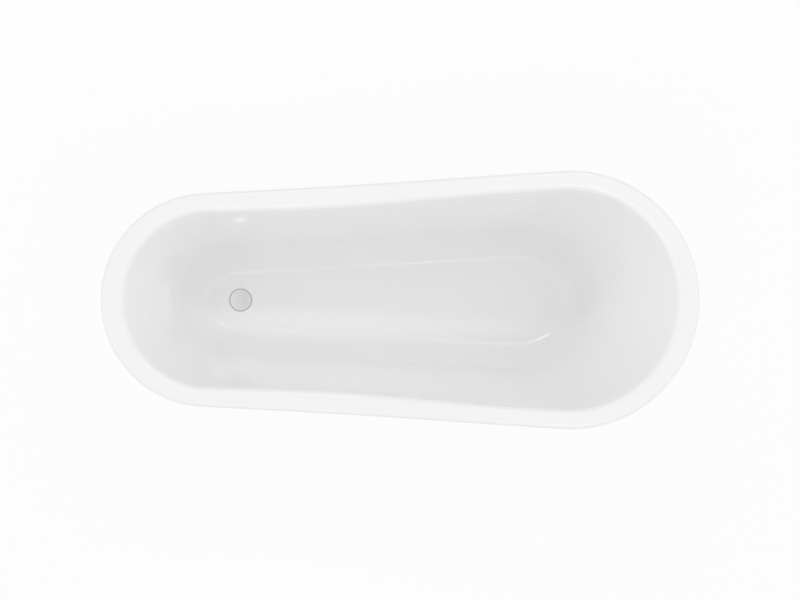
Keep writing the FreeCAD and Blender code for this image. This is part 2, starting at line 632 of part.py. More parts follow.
# ---- waste ---------------------------------------------------------------------------------------
def make_waste():
    """The pieces of the push-to-open waste, by name."""
    pieces = {}
    body_bore = WASTE_BODY_RADIUS - WASTE_BODY_WALL
    flange_low_z = FLANGE_TOP_Z - FLANGE_THICKNESS
    flange_radius = RECESS_RADIUS - FLANGE_CLEARANCE

    body = cylinder(flange_radius, flange_low_z, FLANGE_TOP_Z)
    body = body.fuse(cylinder(WASTE_BODY_RADIUS, BODY_END_Z, flange_low_z))
    body = body.cut(cylinder(body_bore, BODY_END_Z, FLANGE_TOP_Z))
    bars_low_z = BARS_TOP_Z - BAR_HEIGHT
    reach = body_bore + WASTE_BODY_WALL / 2.0
    half = BAR_WIDTH / 2.0
    bars = block((-reach, -half, bars_low_z), (reach, half, BARS_TOP_Z))
    bars = bars.fuse(block((-half, -reach, bars_low_z), (half, reach, BARS_TOP_Z)))
    body = body.fuse(bars).fuse(cylinder(HUB_RADIUS, bars_low_z, BARS_TOP_Z))
    hub_bore = cylinder(CARTRIDGE_RADIUS + THREAD_CLEARANCE, bars_low_z, BARS_TOP_Z)
    pieces["waste_body"] = body.cut(hub_bore).removeSplitter()

    hole_radius = WASTE_BODY_RADIUS + WASTE_HOLE_CLEARANCE
    gasket_radius = hole_radius + GASKET_WIDTH
    gasket_low_z = BOSS_BOTTOM_Z - GASKET_THICKNESS
    washer_low_z = gasket_low_z - SLIP_WASHER_THICKNESS
    nut_low_z = washer_low_z - LOCK_NUT_HEIGHT
    thread_bore = WASTE_BODY_RADIUS + THREAD_CLEARANCE
    pieces["waste_flange_seal"] = ring(flange_radius, hole_radius, RECESS_Z, flange_low_z)
    pieces["waste_lower_gasket"] = ring(gasket_radius, hole_radius, gasket_low_z, BOSS_BOTTOM_Z)
    pieces["waste_slip_washer"] = ring(gasket_radius, hole_radius, washer_low_z, gasket_low_z)
    lock_nut = hexagon(LOCK_NUT_ACROSS_FLATS, nut_low_z, washer_low_z)
    pieces["waste_lock_nut"] = lock_nut.cut(cylinder(thread_bore, nut_low_z, washer_low_z))

    cartridge = cylinder(CARTRIDGE_RADIUS, CARTRIDGE_END_Z, BARS_TOP_Z)
    head_top_z = BARS_TOP_Z + CARTRIDGE_HEAD_HEIGHT
    cartridge = cartridge.fuse(hexagon(CARTRIDGE_HEAD_ACROSS_FLATS, BARS_TOP_Z, head_top_z))
    bore_low_z = CARTRIDGE_END_Z + CARTRIDGE_FLOOR
    bore = cylinder(PLUNGER_RADIUS + PLUNGER_CLEARANCE, bore_low_z, head_top_z)
    pieces["waste_cartridge"] = cartridge.cut(bore)

    plunger_top_z = FLOOR_HEIGHT + CAP_DOME - PLUNGER_TOP_COVER
    plunger = cylinder(PLUNGER_RADIUS, bore_low_z + PLUNGER_END_GAP, plunger_top_z)
    pieces["waste_plunger"] = plunger
    pieces["waste_cap"] = make_cap(plunger)
    seal_radius = CAP_RADIUS - CAP_SEAL_INSET
    seal_top_z = CAP_UNDERSIDE_Z + CAP_SEAL_GROOVE
    pieces["waste_cap_seal"] = ring(seal_radius, seal_radius - CAP_SEAL_WIDTH, CAP_SEAL_LOW_Z, seal_top_z)

    tail_bore = TAIL_RADIUS - TAIL_WALL
    flange_top_z = BODY_END_Z - TAIL_WASHER_HEIGHT
    flange_low_z = flange_top_z - TAIL_FLANGE_THICKNESS
    nut_low_z = flange_low_z - TAIL_NUT_LIP
    collar_low_z = nut_low_z - TAIL_COLLAR_PROUD
    pieces["waste_tail_washer"] = ring(TAIL_FLANGE_RADIUS, tail_bore, flange_top_z, BODY_END_Z)
    tail = cylinder(TAIL_FLANGE_RADIUS, flange_low_z, flange_top_z)
    tail = tail.fuse(cylinder(TAIL_COLLAR_RADIUS, collar_low_z, flange_low_z))
    tail = tail.fuse(cylinder(TAIL_RADIUS, TAIL_END_HEIGHT, collar_low_z))
    pieces["waste_tailpiece"] = tail.cut(cylinder(tail_bore, TAIL_END_HEIGHT, flange_top_z))
    nut_top_z = BODY_END_Z + TAIL_NUT_ENGAGEMENT
    tail_nut = hexagon(TAIL_NUT_ACROSS_FLATS, nut_low_z, nut_top_z)
    tail_nut = tail_nut.cut(cylinder(thread_bore, flange_low_z, nut_top_z))
    tail_nut = tail_nut.cut(cylinder(TAIL_COLLAR_RADIUS + TAIL_NUT_CLEARANCE, nut_low_z, flange_low_z))
    pieces["waste_tail_nut"] = tail_nut

    for piece in pieces.values():
        piece.translate(V(WASTE_X, 0, 0))
    return pieces


def make_cap(plunger):
    """The waste's domed cap, turned from its half profile, with a boss that takes the plunger."""
    low_z, edge_z, top_z = CAP_UNDERSIDE_Z, FLOOR_HEIGHT, FLOOR_HEIGHT + CAP_DOME
    sphere_radius = (CAP_RADIUS**2 + CAP_DOME**2) / (2.0 * CAP_DOME)
    half_way = CAP_RADIUS / 2.0
    half_z = top_z - sphere_radius + math.sqrt(sphere_radius**2 - half_way**2)
    boss_low_z = low_z - CAP_BOSS_DEPTH
    outline = Part.Wire(
        [
            Part.Arc(V(0, 0, top_z), V(half_way, 0, half_z), V(CAP_RADIUS, 0, edge_z)).toShape(),
            Part.LineSegment(V(CAP_RADIUS, 0, edge_z), V(CAP_RADIUS, 0, low_z)).toShape(),
            Part.LineSegment(V(CAP_RADIUS, 0, low_z), V(CAP_BOSS_RADIUS, 0, low_z)).toShape(),
            Part.LineSegment(V(CAP_BOSS_RADIUS, 0, low_z), V(CAP_BOSS_RADIUS, 0, boss_low_z)).toShape(),
            Part.LineSegment(V(CAP_BOSS_RADIUS, 0, boss_low_z), V(0, 0, boss_low_z)).toShape(),
            Part.LineSegment(V(0, 0, boss_low_z), V(0, 0, top_z)).toShape(),
        ]
    )
    cap = Part.Face(outline).revolve(V(0, 0, 0), V(0, 0, 1), 360)
    rim_edges = [e for e in cap.Edges if abs(e.BoundBox.ZMin - edge_z) < 0.01 and e.BoundBox.ZLength < 0.01]
    cap = cap.makeChamfer(CAP_EDGE_BEVEL, rim_edges)
    seal_radius = CAP_RADIUS - CAP_SEAL_INSET
    groove = ring(seal_radius, seal_radius - CAP_SEAL_WIDTH, low_z, low_z + CAP_SEAL_GROOVE)
    return cap.cut(groove).cut(plunger)


# ---- feet ----------------------------------------------------------------------------------------
LEG_SECTION_POINTS = 12
TOE_SECTION_POINTS = 8
RIB_SECTION_POINTS = 6


def closed_spline(points):
    curve = Part.BSplineCurve()
    curve.interpolate(Points=points, PeriodicFlag=True, Parameters=[float(k) for k in range(len(points) + 1)])
    return curve


def capped_loft(curves):
    """A solid with one smooth side through closed splines, closed by a flat cap at each end."""
    faces = [skin_through(curves).toShape()]
    for curve in (curves[0], curves[-1]):
        faces.append(Part.Face(Part.Wire(curve.toShape())))
    return sewn(faces)


def leg_column(angle_deg, proud):
    """A spline up the leg's side at an angle round it, moved out by proud, by height above the ball."""
    heights, points = [], []
    for height, lean, depth, width in LEG_STATIONS:
        angle = math.radians(angle_deg)
        u = BALL_U - LEG_LEAN * lean + (LEG_HALF_DEPTH * depth + proud) * math.cos(angle)
        v = (LEG_HALF_WIDTH * width + proud) * math.sin(angle)
        heights.append(LEG_HEIGHT * height)
        points.append(V(u, v, BALL_Z + LEG_HEIGHT * height))
    column = Part.BSplineCurve()
    column.interpolate(Points=points, Parameters=heights)
    return column


def make_leg():
    """Ankle, calf and knee of a claw foot."""
    step = 360.0 / LEG_SECTION_POINTS
    columns = [leg_column(step * k, 0.0) for k in range(LEG_SECTION_POINTS)]
    curves = []
    for station in LEG_STATIONS:
        height = LEG_HEIGHT * station[0]
        curves.append(closed_spline([column.value(height) for column in columns]))
    return capped_loft(curves)


def round_section(centre, first, second, radius, count):
    """A closed spline through points on a circle spanned by two directions."""
    points = []
    for k in range(count):
        angle = 2.0 * math.pi * k / count
        points.append(centre + first * (radius * math.cos(angle)) + second * (radius * math.sin(angle)))
    return closed_spline(points)


def make_leaf_rib(angle_deg):
    """One rib of the leaf on the knee: circles strung down the leg's side."""
    column = leg_column(angle_deg, LEAF_RIB_PROUD)
    across = V(-math.sin(math.radians(angle_deg)), math.cos(math.radians(angle_deg)), 0)
    curves = []
    for height, share in LEAF_STATIONS:
        place = column.value(LEG_HEIGHT * height)
        along = column.tangent(LEG_HEIGHT * height)[0]
        away = along.cross(across).normalize()
        radius = LEAF_RIB_RADIUS * share
        curves.append(round_section(place, away, along.cross(away), radius, RIB_SECTION_POINTS))
    return capped_loft(curves)


def make_toe(angle_deg):
    """One toe and its claw, gripping the ball: circles strung along an arc round the ball's middle."""
    out = V(math.cos(math.radians(angle_deg)), math.sin(math.radians(angle_deg)), 0)
    across = V(-out.y, out.x, 0)
    curves = []
    for elevation_deg, share in TOE_STATIONS:
        elevation = math.radians(elevation_deg)
        away = out * math.cos(elevation) + V(0, 0, math.sin(elevation))
        centre = V(BALL_U, 0, BALL_Z) + away * (BALL_RADIUS + TOE_PROUD)
        curves.append(round_section(centre, away, across, TOE_RADIUS * share, TOE_SECTION_POINTS))
    return capped_loft(curves)


def make_foot_blank():
    """One claw foot before its top is fitted to the tub, without its saddle."""
    ball = Part.makeSphere(BALL_RADIUS, V(BALL_U, 0, BALL_Z))
    below = cylinder(BALL_RADIUS + CUT_PAST, BALL_Z - BALL_RADIUS - CUT_PAST, BALL_FLAT_Z, BALL_U)
    foot = ball.cut(below).fuse(make_leg())
    for angle_deg in LEAF_ANGLES_DEG:
        foot = foot.fuse(make_leaf_rib(angle_deg))
    for angle_deg in TOE_ANGLES_DEG:
        foot = foot.fuse(make_toe(angle_deg))
    bore_top_z = BALL_FLAT_Z + LEVELLER_ENGAGEMENT + LEVELLER_TRAVEL + LEVELLER_BORE_SPARE
    bore_radius = LEVELLER_RADIUS + LEVELLER_RUNNING_CLEARANCE
    return foot.cut(cylinder(bore_radius, BALL_FLAT_Z - CUT_PAST, bore_top_z, BALL_U))


def make_saddle_blank():
    """The footprint of a foot's saddle as an upright block with rounded inner corners."""
    inner_u = -STUD_INSET - SADDLE_EDGE
    outer_u = BALL_U - SADDLE_KNEE_OVERLAP
    half = SADDLE_WIDTH / 2.0
    top_z = BALL_Z + LEG_HEIGHT
    saddle = block((inner_u, -half, SADDLE_LOW_Z - CUT_PAST), (outer_u, half, top_z))
    corners = [e for e in saddle.Edges if abs(e.BoundBox.XMax - inner_u) < 0.01 and e.BoundBox.YLength < 0.01]
    return saddle.makeFillet(SADDLE_EDGE / 2.0, corners)


def stud_places():
    half = STUD_SPACING / 2.0
    return [(-STUD_INSET, -half), (-STUD_INSET, half)]


def make_studs(radius, low_z, high_z):
    first, second = [cylinder(radius, low_z, high_z, u, v) for u, v in stud_places()]
    return Part.makeCompound([first, second])


def place_foot(shape, station, towards):
    """Moves a shape from the foot's own frame to its place on the +Y side of the tub."""
    x, splay = station
    y, normal_deg = FLOOR.inset(-SKIN_BOTTOM_MARGIN).side_at(x)
    placed = shape.copy()
    placed.rotate(V(0, 0, 0), V(0, 0, 1), normal_deg - towards * splay)
    placed.translate(V(x, y, 0))
    return placed


def make_fixings():
    """The pieces that bolt and level a foot, by name, in the foot's own frame."""
    pieces = {}
    half_v, half_u = PLATE_SIZE[0] / 2.0, PLATE_SIZE[1] / 2.0
    plate_top_z = SKIN_INSIDE_Z + PLATE_THICKNESS
    plate_low = (-STUD_INSET - half_u, -half_v, SKIN_INSIDE_Z)
    plate = block(plate_low, (-STUD_INSET + half_u, half_v, plate_top_z))
    studs = make_studs(STUD_RADIUS, NUT_LOW_Z - STUD_PROUD, plate_top_z)
    pieces["stud_plate"] = plate.fuse(list(studs.Solids))
    half_v, half_u = half_v + BLOCK_MARGIN, half_u + BLOCK_MARGIN
    block_low = (-STUD_INSET - half_u, -half_v, plate_top_z)
    pieces["mounting_block"] = block(block_low, (-STUD_INSET + half_u, half_v, FLOOR_HEIGHT))

    washer_low_z = SADDLE_LOW_Z - WASHER_THICKNESS
    washers, nuts = [], []
    for u, v in stud_places():
        hole = STUD_RADIUS + STUD_CLEARANCE
        washers.append(ring(WASHER_RADIUS, hole, washer_low_z, SADDLE_LOW_Z, u, v))
        thread = cylinder(STUD_RADIUS + THREAD_CLEARANCE, NUT_LOW_Z, washer_low_z, u, v)
        nuts.append(hexagon(NUT_ACROSS_FLATS, NUT_LOW_Z, washer_low_z, u, v).cut(thread))
    pieces["foot_washers"] = Part.makeCompound(washers)
    pieces["foot_nuts"] = Part.makeCompound(nuts)

    head_low_z = PAD_HEIGHT + LEVELLER_AXIAL_CLEARANCE
    screw_low_z = PAD_SOCKET_FLOOR + LEVELLER_AXIAL_CLEARANCE
    screw_top_z = BALL_FLAT_Z + LEVELLER_ENGAGEMENT + LEVELLER_TRAVEL
    screw = cylinder(LEVELLER_RADIUS, screw_low_z, screw_top_z, BALL_U)
    head = hexagon(LEVELLER_HEAD_ACROSS_FLATS, head_low_z, head_low_z + LEVELLER_HEAD_HEIGHT, BALL_U)
    pieces["leveller_screw"] = screw.fuse(head)
    pad = cylinder(PAD_RADIUS, 0.0, PAD_HEIGHT, BALL_U)
    pad_edges = [e for e in pad.Edges if e.BoundBox.ZMin > PAD_HEIGHT - 0.01]
    pad = pad.makeChamfer(PAD_BEVEL, pad_edges)
    socket_radius = LEVELLER_RADIUS + LEVELLER_RUNNING_CLEARANCE
    pieces["leveller_pad"] = pad.cut(cylinder(socket_radius, PAD_SOCKET_FLOOR, PAD_HEIGHT, BALL_U))
    return pieces


def make_foot_set(station, towards):
    """All the pieces of one foot on the +Y side, by name, fitted to the tub."""
    saddle = place_foot(make_saddle_blank(), station, towards)
    foot = place_foot(make_foot_blank(), station, towards)
    hole_radius = STUD_RADIUS + STUD_CLEARANCE
    stud_holes = place_foot(make_studs(hole_radius, SADDLE_LOW_Z - CUT_PAST, SKIN_INSIDE_Z), station, towards)
    skin_face = inside_skin(0.0)
    gasket_face = inside_skin(FOOT_GASKET)
    saddle_face = inside_skin(FOOT_GASKET + SADDLE_THICKNESS)
    footprint = saddle.fuse(foot)
    pieces = {}
    foot = foot.fuse(saddle.common(saddle_face)).cut(gasket_face).cut(stud_holes)
    pieces["claw_foot"] = largest(foot)
    pieces["foot_gasket"] = largest(footprint.common(gasket_face).cut(skin_face).cut(stud_holes))
    for name, piece in make_fixings().items():
        pieces[name] = place_foot(piece, station, towards)
    board_underside = Part.Face(RIM.wire(floor_plane(SHELL_WALL + BOARD_THICKNESS)))
    above_board = board_underside.extrude(V(0, 0, FLOOR_HEIGHT))
    pieces["mounting_block"] = pieces["mounting_block"].cut(above_board)
    return pieces, stud_holes


def largest(shape):
    return max(shape.Solids, key=lambda solid: solid.Volume)


# ---- build ---------------------------------------------------------------------------------------
def build():
    nodes = {"base_board": make_base_board()}
    holes = []
    for end, station, towards in (("waste_end", FOOT_END_STATION, -1.0), ("back_end", BACK_STATION, 1.0)):
        pieces, stud_holes = make_foot_set(station, towards)
        for name, piece in pieces.items():
            nodes[name + "_" + end + "_left"] = piece
            nodes[name + "_" + end + "_right"] = mirrored(piece)
        holes += [stud_holes, mirrored(stud_holes)]
    nodes.update(make_waste())
    nodes["outer_skin"] = make_outer_skin(holes)
    nodes["inner_basin"] = make_inner_basin()
    return nodes


if __name__ == "__main__":
    os.makedirs("parts", exist_ok=True)
    for node, shape in build().items():
        save(node, shape)
        litres = round(shape.Volume / 1e6, 4)
        print(node, "solids", len(shape.Solids), "valid", shape.isValid(), "litres", litres)
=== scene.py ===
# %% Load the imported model
import json
import math

import bmesh
import bpy
from mathutils import Matrix, Vector

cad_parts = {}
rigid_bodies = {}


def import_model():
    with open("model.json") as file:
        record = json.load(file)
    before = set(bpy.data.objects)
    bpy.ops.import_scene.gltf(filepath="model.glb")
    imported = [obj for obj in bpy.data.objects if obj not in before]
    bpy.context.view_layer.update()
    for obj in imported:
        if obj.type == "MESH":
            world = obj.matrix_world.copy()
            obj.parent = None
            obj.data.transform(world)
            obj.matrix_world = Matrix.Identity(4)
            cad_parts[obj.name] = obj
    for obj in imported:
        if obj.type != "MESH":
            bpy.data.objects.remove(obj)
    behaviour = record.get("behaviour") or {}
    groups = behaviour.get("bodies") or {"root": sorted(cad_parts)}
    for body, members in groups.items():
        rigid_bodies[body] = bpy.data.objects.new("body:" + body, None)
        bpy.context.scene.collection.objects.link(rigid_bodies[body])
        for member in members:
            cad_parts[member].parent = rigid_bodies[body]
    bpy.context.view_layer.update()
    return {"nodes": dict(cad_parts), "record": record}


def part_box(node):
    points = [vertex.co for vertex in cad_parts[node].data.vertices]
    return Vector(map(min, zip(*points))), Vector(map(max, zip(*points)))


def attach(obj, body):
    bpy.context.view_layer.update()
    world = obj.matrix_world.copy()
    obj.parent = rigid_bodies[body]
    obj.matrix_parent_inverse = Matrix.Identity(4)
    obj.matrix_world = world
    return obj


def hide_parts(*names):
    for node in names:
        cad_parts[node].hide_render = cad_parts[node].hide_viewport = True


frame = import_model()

# %% [markdown]
# # A slipper bath on claw feet, dressed for the studio
# The CAD model says where everything is. This script gives it the surfaces of a real bath: glossy
# white acrylic, polished chrome castings, nickel-plated brass, zinc, rubber and board.
#
# The bath is white on white, so nearly all that the eye gets is reflections. Reflections need
# clean, evenly spaced faces, which is why the shells and the castings are modelled again here as
# regular grids, and why the small fixings that are hardly seen keep their CAD meshes.

# %% [markdown]
# ## Sizes from the CAD model
# A dressed piece has to lie exactly where its solid lies, because the solid stays underneath for
# collisions. So the meshes are built from the same sizes as the solids, in metres. Each group of
# sizes stands in the cell that first needs it. Only what all the shells share stands here.

# %% Heights of the rim, and the waste's upright axis
RIM_FOOT_HEIGHT, RIM_BACK_HEIGHT = 0.600, 0.785
WASTE = Vector((-0.483, 0.0, 0.0))
print("the rim climbs", round(1000.0 * (RIM_BACK_HEIGHT - RIM_FOOT_HEIGHT)), "mm to the slipper back")

# %% [markdown]
# ## Small tools for every piece
# Blender's operators act on whatever is selected, and loading the model leaves its nodes selected.
# So every new piece starts by deselecting everything. When a piece is done, its place is applied
# into its mesh and its object is left at the origin, as the CAD nodes are. A pattern on Object
# coordinates then stays where it is when the piece is exported or moved by a joint.

# %% Start a piece, and finish one
def deselect_all():
    if bpy.context.object and bpy.context.object.mode != "OBJECT":
        bpy.ops.object.mode_set(mode="OBJECT")
    bpy.ops.object.select_all(action="DESELECT")


def pick(obj):
    deselect_all()
    obj.select_set(True)
    bpy.context.view_layer.objects.active = obj


def dress(obj, name, body, material, slot, nodes=()):
    """Puts the place in the mesh, names the piece, and ties it to its body, finish and CAD nodes."""
    pick(obj)
    bpy.ops.object.transform_apply(location=True, rotation=True, scale=True)
    obj.name = obj.data.name = name
    obj.data.materials.clear()
    obj.data.materials.append(material)
    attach(obj, body)
    if nodes:
        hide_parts(*nodes)
    triangles = sum(len(face.vertices) - 2 for face in obj.data.polygons)  # as a fan from one corner
    print(name, "has", triangles, "triangles")
    return obj


# %% [markdown]
# ## Extruding a ring
# A tub, a cap and a screw look different, but each is a closed line that travels. One could spin a
# profile, but that makes only round things. So the workhorse adds a circle, which is the first
# ring, and extrudes it again and again, moving each new ring to its place. That is how one would
# model a basin by hand: extrude, scale, move, repeat. A ring's points keep a number, so that each
# one finds its own place in the next row.

# %% Extrude a ring from row to row
def rounded(point):
    """A place as plain numbers, to tenths of a micrometre, so that equal places compare equal."""
    return tuple(round(number, 7) for number in Vector(point))


def ring_solid(rows, closed=False):
    """A solid whose side runs through the rows. It is capped at both ends, or closed into a torus."""
    deselect_all()
    bpy.ops.mesh.primitive_circle_add(vertices=len(rows[0]), radius=1.0)
    obj = bpy.context.object
    bpy.ops.object.mode_set(mode="EDIT")
    bpy.ops.mesh.select_mode(type="EDGE")
    mesh = bmesh.from_edit_mesh(obj.data)
    number = mesh.verts.layers.int.new("station")
    for place, vert in enumerate(mesh.verts):
        vert[number] = place
        vert.co = rows[0][place]
    if not closed:
        bpy.ops.mesh.select_all(action="SELECT")
        bpy.ops.mesh.edge_face_add()
    for row in rows[1:]:
        bpy.ops.mesh.extrude_region_move()
        mesh = bmesh.from_edit_mesh(obj.data)
        number = mesh.verts.layers.int["station"]
        for vert in mesh.verts:
            if vert.select:
                vert.co = row[vert[number]]
    if closed:
        first = {rounded(point) for point in rows[0]}
        for edge in mesh.edges:
            if all(rounded(vert.co) in first for vert in edge.verts):
                edge.select = True
        bpy.ops.mesh.bridge_edge_loops()
    bpy.ops.mesh.select_all(action="SELECT")
    bpy.ops.mesh.normals_make_consistent(inside=False)
    bpy.ops.object.mode_set(mode="OBJECT")
    return obj


def smooth(obj, degrees):
    """Shades a piece smooth, and keeps the edges that are sharper than an angle."""
    pick(obj)
    bpy.ops.object.shade_smooth_by_angle(angle=math.radians(degrees))

# %% [markdown]
# ## Effects that several finishes share
# No real surface is perfectly even, and a glossy one shows it. An effect could be drawn anew in
# each material, but it is easier to keep true when it is built once, as a node group with named
# inputs, and placed in each material with its own values. Two are needed here, and both read
# Object coordinates, so they need no unwrapping.

# %% A helper for a group's inputs and outputs
def new_group(name, inputs, outputs):
    group = bpy.data.node_groups.new(name, "ShaderNodeTree")
    for title, kind, value in inputs:
        socket = group.interface.new_socket(title, in_out="INPUT", socket_type=kind)
        if value is not None:
            socket.default_value = value
    for title, kind in outputs:
        group.interface.new_socket(title, in_out="OUTPUT", socket_type=kind)
    return group, group.nodes.new("NodeGroupInput"), group.nodes.new("NodeGroupOutput")


# %% [markdown]
# ### Fine waviness
# A vacuum-formed sheet pulls a little unevenly over its mould, and a polished casting keeps traces
# of the wheel. Neither is seen as a bump, but both bend reflections. One slow noise makes the wave
# and one fast noise the grain, and the group puts out a height for the material's own bump node.

# %% Build the waviness group
def build_waviness():
    group, inlet, outlet = new_group(
        "fine waviness",
        [
            ("Wave Scale", "NodeSocketFloat", 20.0),
            ("Grain Scale", "NodeSocketFloat", 900.0),
            ("Grain Share", "NodeSocketFloat", 0.1),
        ],
        [("Height", "NodeSocketFloat")],
    )
    nodes, links = group.nodes, group.links
    place = nodes.new("ShaderNodeTexCoord")
    wave = nodes.new("ShaderNodeTexNoise")
    wave.inputs["Detail"].default_value = 2.0
    grain = nodes.new("ShaderNodeTexNoise")
    grain.inputs["Detail"].default_value = 3.0
    mix = nodes.new("ShaderNodeMix")
    links.new(place.outputs["Object"], wave.inputs["Vector"])
    links.new(place.outputs["Object"], grain.inputs["Vector"])
    links.new(inlet.outputs["Wave Scale"], wave.inputs["Scale"])
    links.new(inlet.outputs["Grain Scale"], grain.inputs["Scale"])
    links.new(inlet.outputs["Grain Share"], mix.inputs["Factor"])
    links.new(wave.outputs["Fac"], mix.inputs["A"])
    links.new(grain.outputs["Fac"], mix.inputs["B"])
    links.new(mix.outputs["Result"], outlet.inputs["Height"])
    return group


WAVINESS = build_waviness()
print("built the group", WAVINESS.name)

# %% [markdown]
# ### Handling marks
# Wiping, water and fingers leave soft patches where a gloss is a little duller. Only the roughness
# changes, never the colour, so the group puts out a roughness between a clean and a marked value.

# %% Build the marks group
MARKS_BETWEEN = (0.35, 0.7)  # the noise's middle part, where most of its values lie


def build_marks():
    group, inlet, outlet = new_group(
        "handling marks",
        [
            ("Scale", "NodeSocketFloat", 6.0),
            ("Clean", "NodeSocketFloat", 0.05),
            ("Marked", "NodeSocketFloat", 0.12),
        ],
        [("Roughness", "NodeSocketFloat")],
    )
    nodes, links = group.nodes, group.links
    place = nodes.new("ShaderNodeTexCoord")
    noise = nodes.new("ShaderNodeTexNoise")
    noise.inputs["Detail"].default_value = 5.0
    noise.inputs["Roughness"].default_value = 0.6
    spread = nodes.new("ShaderNodeMapRange")
    spread.inputs["From Min"].default_value, spread.inputs["From Max"].default_value = MARKS_BETWEEN
    links.new(place.outputs["Object"], noise.inputs["Vector"])
    links.new(inlet.outputs["Scale"], noise.inputs["Scale"])
    links.new(noise.outputs["Fac"], spread.inputs["Value"])
    links.new(inlet.outputs["Clean"], spread.inputs["To Min"])
    links.new(inlet.outputs["Marked"], spread.inputs["To Max"])
    links.new(spread.outputs["Result"], outlet.inputs["Roughness"])
    return group


MARKS = build_marks()
print("built the group", MARKS.name)

# %% [markdown]
# ## Finishes
# Each finish is one Principled shader. What is the same all over, such as the colour of acrylic, is
# set on the shader itself, because a real acrylic sheet is coloured right through. Only what
# changes over the surface comes from the two groups.

# %% A helper that builds a finish from its numbers
def finish_of(name, colour, roughness, bump, metallic=0.0, scale=6.0, wave=20.0, grain=900.0, share=0.1):
    """A material with roughness from handling marks and a bump from fine waviness."""
    material = bpy.data.materials.new(name)
    material.use_nodes = True
    nodes, links = material.node_tree.nodes, material.node_tree.links
    shader = nodes["Principled BSDF"]
    shader.inputs["Base Color"].default_value = (*colour, 1.0)
    shader.inputs["Metallic"].default_value = metallic
    marks = nodes.new("ShaderNodeGroup")
    marks.node_tree = MARKS
    marks.inputs["Scale"].default_value = scale
    marks.inputs["Clean"].default_value, marks.inputs["Marked"].default_value = roughness
    links.new(marks.outputs["Roughness"], shader.inputs["Roughness"])
    waves = nodes.new("ShaderNodeGroup")
    waves.node_tree = WAVINESS
    waves.inputs["Wave Scale"].default_value = wave
    waves.inputs["Grain Scale"].default_value = grain
    waves.inputs["Grain Share"].default_value = share
    relief = nodes.new("ShaderNodeBump")
    relief.inputs["Strength"].default_value = 1.0
    relief.inputs["Distance"].default_value = bump
    links.new(waves.outputs["Height"], relief.inputs["Height"])
    links.new(relief.outputs["Normal"], shader.inputs["Normal"])
    return material


# %% [markdown]
# ### The white of the bath
# The basin is cast acrylic, polished by its mould: nearly white, very glossy, and wavy only over a
# hand's width. The outside is the same sheet with a little more texture. Pure white would leave no
# room for the shading that shows the form, so the colour stays a little below it.

# %% Acrylic, inside and outside
ACRYLIC_COLOUR, ACRYLIC_IOR = (0.94, 0.94, 0.94), 1.49
acrylic = finish_of("white gloss acrylic", ACRYLIC_COLOUR, (0.06, 0.11), 0.00002, wave=9.0, share=0.02)
skin_acrylic = finish_of("outside acrylic", ACRYLIC_COLOUR, (0.07, 0.13), 0.00004, wave=7.0, share=0.03)
for white in (acrylic, skin_acrylic):
    white.node_tree.nodes["Principled BSDF"].inputs["IOR"].default_value = ACRYLIC_IOR
print("mixed", acrylic.name, "and", skin_acrylic.name)

# %% [markdown]
# ### Metals
# The cap and the tailpiece are turned brass with chrome over nickel, smooth as glass. The claw feet
# are castings, polished by hand before plating, so their chrome is darker to the eye and softly
# dented. What is hidden is cheaper: nickel on brass nuts, dull zinc on steel screws.

# %% Chrome, nickel and zinc
METAL = 1.0
chrome = finish_of("polished chrome", (0.82, 0.825, 0.83), (0.03, 0.09), 0.00005, METAL, wave=60.0)
cast_chrome = finish_of(
    "chromed casting", (0.64, 0.645, 0.65), (0.05, 0.14), 0.00015, METAL, scale=40.0, wave=90.0
)
nickel = finish_of("nickel-plated brass", (0.60, 0.58, 0.54), (0.14, 0.26), 0.00003, METAL, scale=80.0)
zinc = finish_of("zinc-plated steel", (0.58, 0.60, 0.62), (0.25, 0.42), 0.00004, METAL, scale=90.0)
print("mixed", chrome.name, cast_chrome.name, nickel.name, zinc.name, sep=", ")

# %% [markdown]
# ### Rubber, nylon and board
# Seals and pads are matt black rubber with a fine grain. The slip washer is natural nylon, the
# colour of candle wax. The board and the blocks under the basin are pressed wood, rough and brown.

# %% The soft and hidden materials
rubber = finish_of("black rubber", (0.025, 0.025, 0.026), (0.55, 0.75), 0.00008, grain=1600.0, share=0.6)
nylon = finish_of("natural nylon", (0.72, 0.70, 0.64), (0.35, 0.5), 0.00003)
board = finish_of("particle board", (0.45, 0.33, 0.20), (0.7, 0.9), 0.0004, grain=500.0, share=0.8)
print("mixed", rubber.name, nylon.name, board.name, sep=", ")

# %% [markdown]
# ## The CAD nodes that stay
# Washers, seals, studs, blocks and the waste's inner parts are plain turned or flat pieces whose
# solids are already right. They keep their meshes and only get their finish, by the slot that the
# record gives each of them. The nodes that are modelled again below get theirs here too, since
# they are hidden rather than deleted.

# %% Give the CAD nodes that stay their finishes
BY_SLOT = {
    "basin_acrylic": acrylic,
    "skin_acrylic": skin_acrylic,
    "board_wood": board,
    "foot_chrome": cast_chrome,
    "waste_chrome": chrome,
    "waste_brass": nickel,
    "fixing_steel": zinc,
    "seal_rubber": rubber,
    "pad_rubber": rubber,
    "slip_plastic": nylon,
}
for part in frame["record"]["subparts"]:
    node = frame["nodes"][part["node"]]
    node.data.materials.clear()
    node.data.materials.append(BY_SLOT[part["material_slot"]])

# %% [markdown]
# ## The plan outline
# Seen from above, every level of the tub is an egg: two round ends of different radius, joined by
# straight tangents. A curve object could draw it, but its points would lie differently at each
# level. `egg` always returns the same number of points in the same order, so that point 10 of one
# level lies above point 10 of the next, the faces between them are neat quads, and reflections run
# evenly over them.

# %% Points round an egg
FOOT_STEPS, SIDE_STEPS, BACK_STEPS = 30, 40, 32
SIDE_CROWDING = 1.6  # the points of the straight side lie closer together towards the waste


